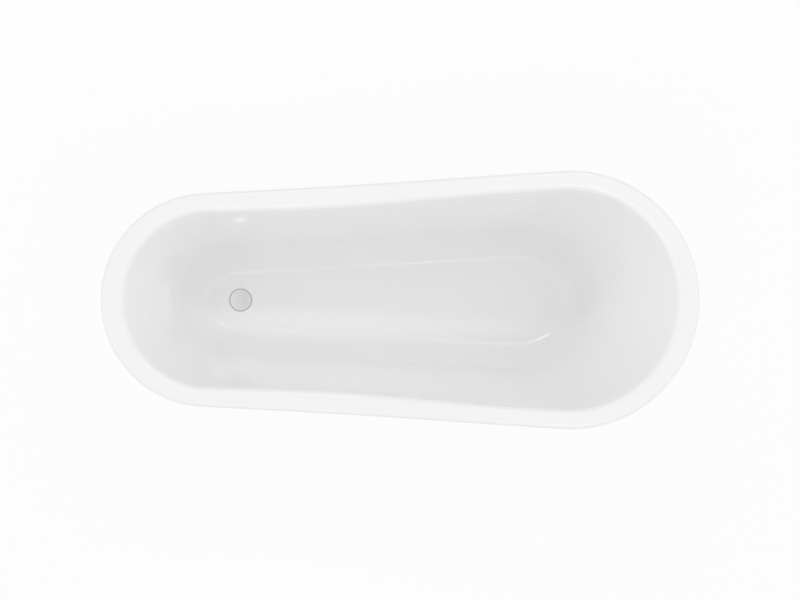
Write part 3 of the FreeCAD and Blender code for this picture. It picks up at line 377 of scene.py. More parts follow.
def egg(foot_x, back_x, foot_radius, back_radius):
    foot_centre, back_centre = foot_x + foot_radius, back_x - back_radius
    turn = math.asin((back_radius - foot_radius) / (back_centre - foot_centre))
    half = []
    for k in range(FOOT_STEPS + 1):
        angle = math.pi - (math.pi / 2 - turn) * k / FOOT_STEPS
        half.append((foot_centre + foot_radius * math.cos(angle), foot_radius * math.sin(angle)))
    start = Vector(half[-1])
    lean = math.pi / 2 + turn
    end = Vector((back_centre + back_radius * math.cos(lean), back_radius * math.sin(lean)))
    for k in range(1, SIDE_STEPS):
        half.append(tuple(start.lerp(end, (k / SIDE_STEPS) ** SIDE_CROWDING)))
    for k in range(BACK_STEPS + 1):
        angle = lean * (1 - k / BACK_STEPS)
        half.append((back_centre + back_radius * math.cos(angle), back_radius * math.sin(angle)))
    return half + [(x, -y) for x, y in half[-2:0:-1]]


AROUND = len(egg(0.0, 1.0, 0.1, 0.2))
print("points round the tub:", AROUND)


# %% [markdown]
# ## Walls that bend up from a floor
# A formed sheet can't turn a sharp corner. From the flat floor the wall bends up in a wide arc and
# then leans out straight, at each end and each side in its own measure. `wall_run` gives how far
# the wall has run outwards at a height, and a `Vessel` asks it at the four sides and draws an egg
# through the answers. An offset grows or shrinks the wall evenly, for the sheet's other face.

# %% How far a wall runs outwards as it rises
def wall_run(base_z, bend, start_deg, top_run, top_z):
    """A function of height and offset: a bend from a flat base, then a straight lean."""
    start = math.radians(start_deg)
    middle_u, middle_z = -bend * math.sin(start), base_z + bend * math.cos(start)
    across, up = top_run - middle_u, top_z - middle_z
    lean = math.acos(bend / math.hypot(across, up)) - math.atan2(up, across)

    def run(z, offset):
        radius = bend + offset
        bend_end = middle_z - radius * math.sin(lean)
        if z <= bend_end:
            return middle_u + math.sqrt(max(0.0, radius**2 - (middle_z - z) ** 2))
        return middle_u + radius * math.cos(lean) + (z - bend_end) * math.tan(lean)

    return run


# %% A vessel, level by level
BEND_END = math.radians(78.0)  # up to here a ring follows the bend, and past it the lean
HEIGHT_TRIES = 5  # a height that depends on x, and an x on the height, settle in this many tries


class Vessel:
    """A round-ended vessel: a flat egg for a base, walls that bend up and lean out to an egg above."""

    def __init__(self, base_z, base, top, end_bend, side_bend, start_deg, drop=0.0):
        self.base, self.base_z, self.bend, self.start = base, base_z, end_bend, math.radians(start_deg)
        foot_top, back_top = RIM_FOOT_HEIGHT - drop, RIM_BACK_HEIGHT - drop
        self.runs = [
            wall_run(base_z, end_bend, start_deg, base[0] - top[0], foot_top),
            wall_run(base_z, end_bend, start_deg, top[1] - base[1], back_top),
            wall_run(base_z, side_bend, start_deg, top[2] - base[2], foot_top),
            wall_run(base_z, side_bend, start_deg, top[3] - base[3], back_top),
        ]

    def level(self, z, offset=0.0):
        foot, back, foot_side, back_side = [run(z, offset) for run in self.runs]
        base = self.base
        return egg(base[0] - foot, base[1] + back, base[2] + foot_side, base[3] + back_side)

    def point(self, station, z, offset=0.0):
        return Vector((*self.level(z, offset)[station], z))

    def point_under(self, station, height, offset=0.0):
        z = height(0.0)
        for _ in range(HEIGHT_TRIES):
            z = height(self.point(station, z, offset).x)
        return self.point(station, z, offset)

    def bend_ring(self, angle, offset=0.0, fall=0.0):
        """The ring at an angle up the bend. A falling base tilts it, less and less up the bend."""
        z = self.base_z + self.bend * math.cos(self.start) - (self.bend + offset) * math.cos(angle)
        tilt = fall * (BEND_END - angle) / (BEND_END - self.start)
        return [Vector((x, y, z + tilt * (x - WASTE.x))) for x, y in self.level(z, offset)]

    def rows(self, offset, top_row, bend_steps, lean_steps, fall=0.0, first=None):
        """Rings up the bend from a first angle, and on up the lean to the top ring."""
        if first is None:
            flat = (self.bend * math.cos(self.start) + offset) / (self.bend + offset)
            first = math.acos(min(1.0, flat))
        rows = []
        for n in range(bend_steps + 1):
            rows.append(self.bend_ring(first + (BEND_END - first) * n / bend_steps, offset, fall))
        low_z = rows[-1][0].z
        for n in range(1, lean_steps):
            heights = [low_z + (point.z - low_z) * n / lean_steps for point in top_row]
            rows.append([self.point(k, heights[k], offset) for k in range(AROUND)])
        return rows + [top_row]


# %% [markdown]
# ## The basin
# The basin is one sheet of acrylic, heated and sucked into a mould, with glass fibre behind it. So
# it has one even wall and generous rounds, and it is modelled as one ring that travels: from the
# waste hole out over the floor, up the wall, over the rolled rim, down the lip, and back along the
# underside to the hole. The last ring is bridged to the first, so the sheet is closed all round.
# A Solidify modifier could give the wall its thickness, but it would thicken the rounds unevenly.

# %% The sizes of the rim and the basin
HALF_LENGTH, RIM_FOOT_RADIUS, RIM_BACK_RADIUS = 0.850, 0.309, 0.3614
RIM_RISE_START, RIM_RISE_END = -0.430, 0.720
RIM_LIP, RIM_OUTER_ROUND, RIM_INNER_ROUND = 0.038, 0.012, 0.022
DECK_FOOT, DECK_BACK, DECK_FOOT_SIDE, DECK_BACK_SIDE = 0.062, 0.057, 0.054, 0.050
SHELL_WALL = 0.006
FLOOR_HEIGHT, FLOOR_FALL = 0.165, math.tan(math.radians(0.45))
FLOOR_FOOT_X, FLOOR_BACK_X = -0.567, 0.503
FLOOR_FOOT_RADIUS, FLOOR_BACK_RADIUS = 0.084, 0.129
RIM = (-HALF_LENGTH, HALF_LENGTH, RIM_FOOT_RADIUS, RIM_BACK_RADIUS)
FLOOR = (FLOOR_FOOT_X, FLOOR_BACK_X, FLOOR_FOOT_RADIUS, FLOOR_BACK_RADIUS)
BASIN_TOP = (
    -HALF_LENGTH + DECK_FOOT,
    HALF_LENGTH - DECK_BACK,
    RIM_FOOT_RADIUS - DECK_FOOT_SIDE,
    RIM_BACK_RADIUS - DECK_BACK_SIDE,
)
BASIN_END_BEND, BASIN_SIDE_BEND, BASIN_START_DEG = 0.140, 0.120, 17.0
BASIN = Vessel(FLOOR_HEIGHT, FLOOR, BASIN_TOP, BASIN_END_BEND, BASIN_SIDE_BEND, BASIN_START_DEG)
print("the basin is", round(BASIN_TOP[1] - BASIN_TOP[0], 3), "m long inside its rim")

# %% [markdown]
# ### The rim
# The rim is level over the foot end and climbs to the slipper back. Its height follows a smooth
# step, level and uncurved at both ends, so that no highlight breaks where the climb begins. At
# every station its section has two rounds, a wide one into the basin and a small one at the edge.

# %% The rim's line and its rounds
INNER_STEPS, OUTER_STEPS = 10, 8


def inset(outline, distance):
    """An egg's four numbers, with its line moved inwards all round."""
    foot_x, back_x, foot_radius, back_radius = outline
    return foot_x + distance, back_x - distance, foot_radius - distance, back_radius - distance


def rim_height(x):
    """The top of the rim at a place along the tub."""
    share = min(1.0, max(0.0, (x - RIM_RISE_START) / (RIM_RISE_END - RIM_RISE_START)))
    climb = share**3 * (10.0 - 15.0 * share + 6.0 * share**2)
    return RIM_FOOT_HEIGHT + (RIM_BACK_HEIGHT - RIM_FOOT_HEIGHT) * climb


def round_corner(corner, first, second, radius, wall, steps):
    """Points round a corner between two directions, on the face that lies wall inside it."""
    opening = first.angle(second)
    reach = radius / math.tan(opening / 2)
    inward = (second - first * first.dot(second)).normalized()
    centre = corner + first * reach + inward * radius
    start, end = -inward, -(first - second * first.dot(second)).normalized()
    points = []
    for n in range(steps + 1):
        away = start.slerp(end, n / steps)
        points.append(centre + away * (radius - wall))
    return points


def rim_profile(station):
    """The points over the rim at a station, from the basin's wall to the lip, for both faces."""
    wall_top = BASIN.point_under(station, rim_height)
    x, y = egg(*RIM)[station]
    edge = Vector((x, y, rim_height(x)))
    down = (BASIN.point(station, wall_top.z - RIM_INNER_ROUND) - wall_top).normalized()
    out = (edge - wall_top).normalized()
    inwards = Vector((-out.x, -out.y, 0)).normalized()
    lip = edge - Vector((0, 0, RIM_LIP))
    faces = []
    for wall in (0.0, SHELL_WALL):
        points = round_corner(wall_top, down, out, RIM_INNER_ROUND, wall, INNER_STEPS)
        points += round_corner(edge, -out, Vector((0, 0, -1)), RIM_OUTER_ROUND, wall, OUTER_STEPS)
        faces.append(points + [lip + inwards * wall])
    return faces


# %% [markdown]
# ### The floor and its waste
# Round the waste the floor is pressed into a shallow recess for the flange, and it is thicker
# underneath. The rings there are circles, but those at the floor's edge are eggs. To pass from one
# to the other without twisting, each point of a circle lies in the direction of its own point on
# the egg.

# %% Rings over the floor, from the waste hole outwards
def circle_facing(outline_row, radius, z):
    """A ring round the waste whose points look towards the points of an outline."""
    row = []
    for point in outline_row:
        away = Vector((point.x - WASTE.x, point.y, 0)).normalized()
        row.append(WASTE + away * radius + Vector((0, 0, z)))
    return row


def floor_ring(outline, drop=0.0):
    return [Vector((x, y, FLOOR_HEIGHT - drop + FLOOR_FALL * (x - WASTE.x))) for x, y in egg(*outline)]


# %% [markdown]
# ### The whole sheet
# A fine crease runs round the floor, where the mould's flat bottom ends. In the photo it catches
# the light as a thin line. It is a narrow round rather than an edge: its rings lie on a curve that
# starts along the floor and ends along the wall.

# %% Extrude the basin
CREASE, CREASE_STEPS, BEND_STEPS, LEAN_STEPS = 0.009, 8, 14, 10
RECESS_EDGE, RECESS_BORDER, CREASE_BORDER = 0.0025, 0.006, 0.014
RECESS_Z, RECESS_RADIUS, HOLE_RADIUS, BOSS_Z, BOSS_RADIUS = 0.1558, 0.0349, 0.0246, 0.1488, 0.050
profiles = [rim_profile(k) for k in range(AROUND)]
inner = [[profile[0][n] for profile in profiles] for n in range(len(profiles[0][0]))]
outer = [[profile[1][n] for profile in profiles] for n in range(len(profiles[0][1]))]
crease_top = BASIN.start + CREASE / BASIN.bend
wall = BASIN.rows(0.0, inner[0], BEND_STEPS, LEAN_STEPS, FLOOR_FALL, crease_top)
back_wall = BASIN.rows(SHELL_WALL, outer[0], BEND_STEPS, LEAN_STEPS, FLOOR_FALL)
edge_ring = floor_ring(FLOOR)
rings = [circle_facing(edge_ring, HOLE_RADIUS, RECESS_Z)]
rings += [circle_facing(edge_ring, RECESS_RADIUS, RECESS_Z)]
rings += [circle_facing(edge_ring, RECESS_RADIUS, FLOOR_HEIGHT - RECESS_EDGE)]
rings += [circle_facing(edge_ring, RECESS_RADIUS + RECESS_EDGE, FLOOR_HEIGHT)]
rings += [circle_facing(edge_ring, RECESS_RADIUS + RECESS_BORDER, FLOOR_HEIGHT)]
rings += [floor_ring(inset(FLOOR, CREASE_BORDER)), floor_ring(inset(FLOOR, CREASE))]
for share in [n / CREASE_STEPS for n in range(1, CREASE_STEPS)]:
    floor_side = [a.lerp(b, share) for a, b in zip(floor_ring(inset(FLOOR, CREASE)), edge_ring)]
    wall_side = [a.lerp(b, share) for a, b in zip(edge_ring, wall[0])]
    rings.append([a.lerp(b, share) for a, b in zip(floor_side, wall_side)])
rings += wall + inner[1:]
rings += [[a.lerp(b, 0.5) for a, b in zip(inner[-1], outer[-1])]]
rings += outer[::-1] + back_wall[:0:-1]
rings += [circle_facing(edge_ring, BOSS_RADIUS, FLOOR_HEIGHT - SHELL_WALL)]
rings += [circle_facing(edge_ring, BOSS_RADIUS, BOSS_Z)]
rings += [circle_facing(edge_ring, HOLE_RADIUS, BOSS_Z)]
basin = ring_solid(rings, closed=True)
smooth(basin, 30)
dress(basin, "basin", "tub", acrylic, "basin_acrylic", ["inner_basin"])

# %% [markdown]
# ## The outer skin
# The skin is the outside sheet, and the tub's whole look from the side. It starts at the hand hole
# under the waste, crosses the flat bottom, bends up and leans out, and its top edge is hidden up
# behind the lip of the rim. It is a vessel like the basin, with its own numbers, so the same rings
# make it: out along its outer face and back along its inner one.

# %% The sizes of the skin
SKIN_WALL, SKIN_BOTTOM, SKIN_BEND, SKIN_TOP_INSET, SKIN_TOP_GAP = 0.005, 0.110, 0.150, 0.014, 0.001
SKIN_MARGIN, SKIN_ACCESS_RADIUS, HAND_HOLE_BORDER = 0.010, 0.062, 0.012
SKIN_BEND_STEPS, SKIN_LEAN_STEPS = 16, 12
SKIN_BASE = inset(FLOOR, -SKIN_MARGIN)
SKIN = Vessel(SKIN_BOTTOM, SKIN_BASE, inset(RIM, SKIN_TOP_INSET), SKIN_BEND, SKIN_BEND, 0.0, SHELL_WALL)
print("the skin's flat bottom is", round(SKIN_BASE[1] - SKIN_BASE[0], 3), "m long")


# %% Extrude the skin


def skin_top(x):
    return rim_height(x) - SHELL_WALL - SKIN_TOP_GAP


def level_ring(outline, z):
    return [Vector((x, y, z)) for x, y in egg(*outline)]


def skin_face(offset):
    """The rings of one face of the sheet, up to its top edge."""
    top_row = [SKIN.point_under(k, skin_top, offset) for k in range(AROUND)]
    return SKIN.rows(offset, top_row, SKIN_BEND_STEPS, SKIN_LEAN_STEPS)


base_ring = level_ring(SKIN_BASE, SKIN_BOTTOM)
rings = [circle_facing(base_ring, SKIN_ACCESS_RADIUS, SKIN_BOTTOM)]
rings += [level_ring(inset(SKIN_BASE, HAND_HOLE_BORDER), SKIN_BOTTOM)]
rings += skin_face(0.0) + skin_face(-SKIN_WALL)[::-1]
rings += [circle_facing(base_ring, SKIN_ACCESS_RADIUS, SKIN_BOTTOM + SKIN_WALL)]
skin = ring_solid(rings, closed=True)
smooth(skin, 30)
dress(skin, "skin", "tub", skin_acrylic, "skin_acrylic", ["outer_skin"])

# %% [markdown]
# ## The claw feet
# A claw foot is cast in one piece: a ball, four toes that grip it, an ankle, a knee with a carved
# leaf, and a saddle that is bolted to the tub. Castings have no sharp inner corners, because metal
# doesn't fill them and a pattern maker rounds them off. Sculpting would give that look but can't be
# written down. So the forms are modelled one by one with some overlap, remeshed into one skin, and
# relaxed. Only what is machined afterwards is cut crisply: the face on the tub, the stud holes, the
# threaded hole and the flat under the ball.
#
# A foot is modelled in its own frame, u outwards from the tub's flat bottom and v along the tub.
# The leg is a ring that travels up through eight stations, like the ribs of a boat's hull.

# %% The ball and the stations of the leg
BALL_U, BALL_RADIUS, BALL_FLAT_RADIUS, BALL_FLAT_Z = 0.140, 0.032, 0.018, 0.0098
BALL_Z = BALL_FLAT_Z + math.sqrt(BALL_RADIUS**2 - BALL_FLAT_RADIUS**2)
LEG_HEIGHT, LEG_HALF_DEPTH, LEG_HALF_WIDTH, LEG_LEAN = 0.215, 0.040, 0.045, 0.012
LEG_STATIONS = [  # share of the height, then shares of the lean, the half depth and the half width
    (0.075, -0.08, 0.63, 0.56),
    (0.177, 0.08, 0.48, 0.41),
    (0.279, 0.17, 0.53, 0.45),
    (0.423, 0.17, 0.78, 0.69),
    (0.581, 0.17, 1.00, 0.96),
    (0.749, 0.33, 0.94, 1.00),
    (0.898, 0.67, 0.70, 0.73),
    (1.000, 1.00, 0.50, 0.31),
]
print("the leg stands", round(BALL_Z + LEG_HEIGHT, 4), "m high")


# %% A smooth line through a few stations
def along(stations, at):
    """Values at a place, on a smooth line through stations whose first column is the place."""
    k = min(len(stations) - 2, max(0, sum(row[0] <= at for row in stations) - 1))
    before, low = stations[max(0, k - 1)], stations[k]
    high, after = stations[k + 1], stations[min(len(stations) - 1, k + 2)]
    width = high[0] - low[0]
    t = (at - low[0]) / width
    values = []
    for a, b, c, d in zip(before[1:], low[1:], high[1:], after[1:]):
        slope_in = (c - a) / (high[0] - before[0]) * width
        slope_out = (d - b) / (after[0] - low[0]) * width
        start = (1 + 2 * t) * (1 - t) ** 2 * b + t * (1 - t) ** 2 * slope_in
        values.append(start + t * t * (3 - 2 * t) * c + t * t * (t - 1) * slope_out)
    return values


def ease(low, high, value):
    """Goes from 0 to 1 between two values, level at both ends. If high is the lower, it goes down."""
    t = min(1.0, max(0.0, (value - low) / (high - low)))
    return t * t * (3 - 2 * t)


# %% [markdown]
# ### The leaf on the knee
# The leaf is acanthus of the plainest kind: a raised blade round the knee with three ribs, and
# barbs that sweep up from each rib. It could be a separate piece laid on, but on the real casting
# it grows out of the metal. So it is a relief: every point of the leg is pushed outwards by an
# amount that depends on the angle round the knee and on the height.

# %% Ankle and knee, with the leaf carved into them
LEAF_TIP, LEAF_FULL, LEAF_TOP = 0.33, 0.62, 0.95  # heights, as shares of the leg
LEAF_HALF_ANGLE, LEAF_EDGE_ANGLE, LEAF_RIB_ANGLE, RIB_HALF_ANGLE = 84.0, 7.0, 44.0, 12.0
LEAF_BLADE, LEAF_RIB, LEAF_BARB = 0.0016, 0.0062, 0.0009  # how far each stands out
SCALLOPS, SCALLOP_DEPTH = 9.0, 0.10  # bites in the leaf's edge over the leg's height
BARBS, BARB_SWEEP = 22.0, 0.8  # barbs over the leg's height, and how steeply they climb
BARB_FROM, BARB_TO = (0.15, 0.6), (3.2, 1.8)  # they fade by the rib and towards the next one


def leaf_relief(degrees, share):
    """How far the leaf stands out of the knee, by the angle round it and the height."""
    rise = ease(LEAF_TIP, LEAF_FULL, share) * ease(1.0, LEAF_TOP, share)
    if rise <= 0.0:
        return 0.0
    scallop = 1.0 - SCALLOP_DEPTH * abs(math.sin(SCALLOPS * math.pi * share))
    edge = LEAF_HALF_ANGLE * math.sqrt(rise) * scallop
    blade = ease(0.0, LEAF_EDGE_ANGLE, edge - abs(degrees))
    nearest = LEAF_RIB_ANGLE * max(-1, min(1, round(degrees / LEAF_RIB_ANGLE)))
    aside = (degrees - nearest) / RIB_HALF_ANGLE
    rib = math.exp(-aside * aside) * rise
    barb = 0.5 + 0.5 * math.cos(2 * math.pi * (BARBS * share - abs(aside) * BARB_SWEEP))
    flank = ease(*BARB_FROM, abs(aside)) * ease(*BARB_TO, abs(aside))
    return blade * (LEAF_BLADE - LEAF_BARB * barb * flank) + LEAF_RIB * rib


def leg_point(degrees, share, proud=0.0):
    """A point on the leg's skin, by the angle round it and the share of its height."""
    lean, depth, width = along(LEG_STATIONS, share)
    angle = math.radians(degrees)
    u = BALL_U - LEG_LEAN * lean + (LEG_HALF_DEPTH * depth + proud) * math.cos(angle)
    v = (LEG_HALF_WIDTH * width + proud) * math.sin(angle)
    return Vector((u, v, BALL_Z + LEG_HEIGHT * share))


def make_leg(rows=90, around=120):
    low, high = LEG_STATIONS[0][0], LEG_STATIONS[-1][0]
    rings = []
    for n in range(rows + 1):
        share = low + (high - low) * n / rows
        turns = [360.0 * k / around - 180.0 for k in range(around)]
        rings.append([leg_point(turn, share, leaf_relief(turn, share)) for turn in turns])
    return ring_solid(rings)


# %% [markdown]
# ### The toes
# A toe starts as a tendon on the ankle, swells at each knuckle on its way over the ball, and ends in
# a claw that grips it. It is one ring again, but its path is bent: down the leg's own skin and then
# round the ball, a few degrees at a time. Fine folds lie between the knuckles, as on a bird's foot.

# %% The stations of a toe
TOE_ANGLES = (-54.0, 0.0, 54.0, 180.0)
TOE_RADIUS, TOE_PROUD, TENDON_SINK = 0.011, 0.003, 0.45
TENDON_STATIONS = [(0.44, 0.15), (0.38, 0.32), (0.32, 0.45), (0.26, 0.56), (0.20, 0.66)]
TOE_STATIONS = [  # degrees down from the ankle, then the share of the toe's radius
    (0.0, 0.73),
    (18.0, 0.84),
    (34.0, 1.02),
    (50.0, 0.78),
    (62.0, 0.88),
    (71.0, 0.86),
    (74.0, 0.66),
    (84.0, 0.50),
    (94.0, 0.30),
    (102.0, 0.10),
]
TOE_START_ELEVATION, TOE_FIRST, TOE_STEP, TOE_ROWS = 62.0, 10.0, 2.0, 47  # in degrees round the ball
FOLD_DEPTH, FOLD_EVERY, FOLDS_START, FOLDS_END = 0.05, 8.0, (24, 30), (46, 40)
print("a toe has", len(TENDON_STATIONS) + TOE_ROWS, "rings")


# %% A tendon down the ankle, knuckles over the ball, and a claw
def make_toe(degrees, around=24):
    angle = math.radians(degrees)
    out = Vector((math.cos(angle), math.sin(angle), 0))
    across = Vector((-math.sin(angle), math.cos(angle), 0))
    centres, radii = [], []
    for share, size in TENDON_STATIONS:
        centres.append(leg_point(degrees, share, -TENDON_SINK * TOE_RADIUS * size))
        radii.append(TOE_RADIUS * size)
    for turn in [TOE_FIRST + TOE_STEP * n for n in range(TOE_ROWS)]:
        elevation = math.radians(TOE_START_ELEVATION - turn)
        away = out * math.cos(elevation) + Vector((0, 0, math.sin(elevation)))
        folds = FOLD_DEPTH * math.cos(2 * math.pi * turn / FOLD_EVERY)
        folds = folds * ease(*FOLDS_START, turn) * ease(*FOLDS_END, turn)
        centres.append(Vector((BALL_U, 0, BALL_Z)) + away * (BALL_RADIUS + TOE_PROUD))
        radii.append(TOE_RADIUS * (along(TOE_STATIONS, turn)[0] - folds))
    rings = []
    for n, centre in enumerate(centres):
        forward = (centres[min(n + 1, len(centres) - 1)] - centres[max(n - 1, 0)]).normalized()
        away = across.cross(forward).normalized()
        ring = []
        for k in range(around):
            turn = 2 * math.pi * k / around
            ring.append(centre + (away * math.cos(turn) + across * math.sin(turn)) * radii[n])
        rings.append(ring)
    return ring_solid(rings)


# %% [markdown]
# ### Joining, cutting and copying
# Overlapping forms are joined into one object before the remesh. What a machine cuts is a Boolean
# modifier, applied at once, and its tool is deleted.

# %% Joining, cutting and copying
def join(pieces):
    """Makes several objects one. Their meshes still overlap."""
    deselect_all()
    for piece in pieces:
        piece.select_set(True)
    bpy.context.view_layer.objects.active = pieces[0]
    bpy.ops.object.join()
    return bpy.context.object


def apply_boolean(obj, tool, operation):
    pick(obj)
    boolean = obj.modifiers.new("boolean", "BOOLEAN")
    boolean.operation, boolean.solver, boolean.object = operation, "EXACT", tool
    bpy.ops.object.modifier_apply(modifier=boolean.name)
    bpy.data.objects.remove(tool, do_unlink=True)
    return obj


def copy_of(obj):
    """A copy with its own mesh."""
    copy = obj.copy()
    copy.data = obj.data.copy()
    bpy.context.scene.collection.objects.link(copy)
    return copy


def make_rod(radius, low_z, high_z, u, v=0.0, around=32):
    """An upright rod, the tool for drilling a hole."""
    deselect_all()
    bpy.ops.mesh.primitive_cylinder_add(
        vertices=around, radius=radius, depth=high_z - low_z, location=(u, v, (low_z + high_z) / 2)
    )
    return bpy.context.object


# %% [markdown]
# ### Where a foot stands
# The feet stand on the edge of the skin's flat bottom, square to it but for a small turn towards
# the ends of the tub. The pair at the waste end stands by the straight side, and the pair at the
# back stands where the outline has begun to round, so both cases are worked out.

# %% The skin as a tool, and a foot's place
CUTTER_TOP, CUTTER_BEND_STEPS, CUTTER_LEAN_STEPS = 0.300, 24, 3


def skin_solid(offset):
    """The outside of the tub's skin grown by an offset, as a solid up to the cutter's top."""
    top = [Vector((x, y, CUTTER_TOP)) for x, y in SKIN.level(CUTTER_TOP, offset)]
    return ring_solid(SKIN.rows(offset, top, CUTTER_BEND_STEPS, CUTTER_LEAN_STEPS))


def foot_place(x, splay):
    """Turns and moves a foot from its own frame to the +Y side of the tub's flat bottom."""
    foot_x, back_x, foot_radius, back_radius = SKIN_BASE
    foot_centre, back_centre = foot_x + foot_radius, back_x - back_radius
    turn = math.asin((back_radius - foot_radius) / (back_centre - foot_centre))
    y = (foot_radius + (x - foot_centre) * math.sin(turn)) / math.cos(turn)
    outwards = math.pi / 2 + turn
    if x > back_centre - back_radius * math.sin(turn):
        y = math.sqrt(back_radius**2 - (x - back_centre) ** 2)
        outwards = math.atan2(y, x - back_centre)
    return Matrix.Translation((x, y, 0.0)) @ Matrix.Rotation(outwards - math.radians(splay), 4, "Z")


# %% [markdown]
# ### The saddle
# The saddle is a plate of even thickness that follows the tub's skin. A block is given two rounded
# corners with a bevel, and what lies inside the skin grown by the plate's thickness is kept.

# %% Cut the saddle from a block
FOOT_GASKET, SADDLE_THICKNESS, SADDLE_WIDTH, SADDLE_ROUND = 0.002, 0.008, 0.066, 0.012
SADDLE_INNER_U, SADDLE_OUTER_U, SADDLE_BLOCK_Z, SADDLE_BLOCK_HEIGHT = -0.054, 0.118, 0.2, 0.3


def make_saddle(place):
    deselect_all()
    middle = ((SADDLE_INNER_U + SADDLE_OUTER_U) / 2, 0.0, SADDLE_BLOCK_Z)
    bpy.ops.mesh.primitive_cube_add(size=1.0, location=middle)
    saddle = bpy.context.object
    saddle.scale = (SADDLE_OUTER_U - SADDLE_INNER_U, SADDLE_WIDTH, SADDLE_BLOCK_HEIGHT)
    bpy.ops.object.transform_apply(location=True, rotation=True, scale=True)
    bpy.ops.object.mode_set(mode="EDIT")
    bpy.ops.mesh.select_mode(type="EDGE")
    bpy.ops.mesh.select_all(action="DESELECT")
    mesh = bmesh.from_edit_mesh(saddle.data)
    for edge in mesh.edges:
        upright = abs(edge.verts[0].co.z - edge.verts[1].co.z) > SADDLE_BLOCK_HEIGHT / 2
        edge.select = upright and edge.verts[0].co.x < 0.0
    bmesh.update_edit_mesh(saddle.data)
    bpy.ops.mesh.bevel(offset=SADDLE_ROUND, segments=6)
    bpy.ops.object.mode_set(mode="OBJECT")
    saddle.matrix_world = place
    bpy.ops.object.transform_apply(location=True, rotation=True, scale=True)
    return apply_boolean(saddle, skin_solid(FOOT_GASKET + SADDLE_THICKNESS), "INTERSECT")


# %% [markdown]
# ### The casting
# The saddle follows the tub, which is rounder at the back, so each end of the tub has its own
# casting. The voxel remesh makes one skin of all the forms, and a few rounds of smoothing give the
# soft inner corners of a casting. Cutting leaves crumbs beside the main piece, which are deleted.

# %% One casting for each end of the tub
STUD_U, STUD_V, STUD_HOLE_RADIUS, STUD_HOLE_LOW_Z, STUD_HOLE_HIGH_Z = -0.030, 0.018, 0.0045, 0.08, 0.12
SCREW_HOLE_RADIUS, SCREW_HOLE_TOP = 0.0053, 0.0418
VOXEL, RELAX_FACTOR, RELAX_TIMES = 0.0011, 0.5, 3


def make_casting(x, splay):
    place = foot_place(x, splay)
    deselect_all()
    bpy.ops.mesh.primitive_uv_sphere_add(
        segments=64, ring_count=32, radius=BALL_RADIUS, location=(BALL_U, 0, BALL_Z)
    )
    pieces = [bpy.context.object, make_leg()] + [make_toe(angle) for angle in TOE_ANGLES]
    foot = join(pieces)
    pick(foot)
    bpy.ops.object.transform_apply(location=True, rotation=True, scale=True)
    foot.matrix_world = place
    bpy.ops.object.transform_apply(location=True, rotation=True, scale=True)
    foot = join([foot, make_saddle(place)])
    pick(foot)
    remesh = foot.modifiers.new("one skin", "REMESH")
    remesh.mode, remesh.voxel_size = "VOXEL", VOXEL
    bpy.ops.object.modifier_apply(modifier=remesh.name)
    bpy.ops.object.mode_set(mode="EDIT")
    bpy.ops.mesh.select_all(action="SELECT")
    bpy.ops.mesh.vertices_smooth(factor=RELAX_FACTOR, repeat=RELAX_TIMES)
    bpy.ops.mesh.bisect(plane_co=(0, 0, BALL_FLAT_Z), plane_no=(0, 0, 1), use_fill=True, clear_inner=True)
    bpy.ops.object.mode_set(mode="OBJECT")
    apply_boolean(foot, skin_solid(FOOT_GASKET), "DIFFERENCE")
    tools = [make_rod(SCREW_HOLE_RADIUS, 0.0, SCREW_HOLE_TOP, BALL_U)]
    for v in (-STUD_V, STUD_V):
        tools.append(make_rod(STUD_HOLE_RADIUS, STUD_HOLE_LOW_Z, STUD_HOLE_HIGH_Z, STUD_U, v))
    for tool in tools:
        pick(tool)
        bpy.ops.object.transform_apply(location=True, rotation=True, scale=True)
        tool.matrix_world = place
        apply_boolean(foot, tool, "DIFFERENCE")
    return keep_from_lowest(foot)


def keep_from_lowest(obj):
    """Keeps what hangs together with the lowest point, and deletes the crumbs beside it."""
    pick(obj)
    bpy.ops.object.mode_set(mode="EDIT")
    bpy.ops.mesh.select_mode(type="VERT")
    bpy.ops.mesh.select_all(action="DESELECT")
    mesh = bmesh.from_edit_mesh(obj.data)
    lowest = min(mesh.verts, key=lambda vert: vert.co.z)
    lowest.select = True
    bmesh.update_edit_mesh(obj.data)
    bpy.ops.mesh.select_linked()
    bpy.ops.mesh.select_all(action="INVERT")
    bpy.ops.mesh.delete(type="VERT")
    bpy.ops.object.mode_set(mode="OBJECT")
    return obj


# %% [markdown]
# ### Four feet
# A foot on one side is the mirror image of the other. Mirroring turns a mesh inside out, so the
# twin's normals are worked out again.

# %% Cast the feet, and mirror each to its twin
FEET = [("waste_end", -0.372, -14.0), ("back_end", 0.392, 14.0)]  # place along the tub, and turn
for end, x, splay in FEET:
    casting = make_casting(x, splay)
    smooth(casting, 32)
    twin = copy_of(casting)
    pick(twin)
    twin.scale.y = -1.0
    bpy.ops.object.transform_apply(location=True, rotation=True, scale=True)
    bpy.ops.object.mode_set(mode="EDIT")
    bpy.ops.mesh.select_all(action="SELECT")
    bpy.ops.mesh.normals_make_consistent(inside=False)
    bpy.ops.object.mode_set(mode="OBJECT")
    for piece, side in ((casting, "left"), (twin, "right")):
        tag = end + "_" + side
        dress(piece, "claw_casting_" + tag, "tub", cast_chrome, "foot_chrome", ["claw_foot_" + tag])

# %% [markdown]
# ## Turned pieces
# The cap, the tailpiece, the pads and the screws are turned on a lathe or moulded round. Each is a
# profile swept round its axis. The spin operator could sweep it, but the ring tool does the same
# and closes the poles: a list of radii and heights, and one ring for each.

# %% Turned solids
def circle(radius, z, centre=(0.0, 0.0), around=64):
    """One ring of a turned piece."""
    angles = [2 * math.pi * k / around for k in range(around)]
    return [Vector((centre[0] + radius * math.cos(a), centre[1] + radius * math.sin(a), z)) for a in angles]


def turned(profile, centre=(0.0, 0.0), around=64):
    """A profile of radii and heights, swept round an upright axis."""
    return ring_solid([circle(radius, z, centre, around) for radius, z in profile])


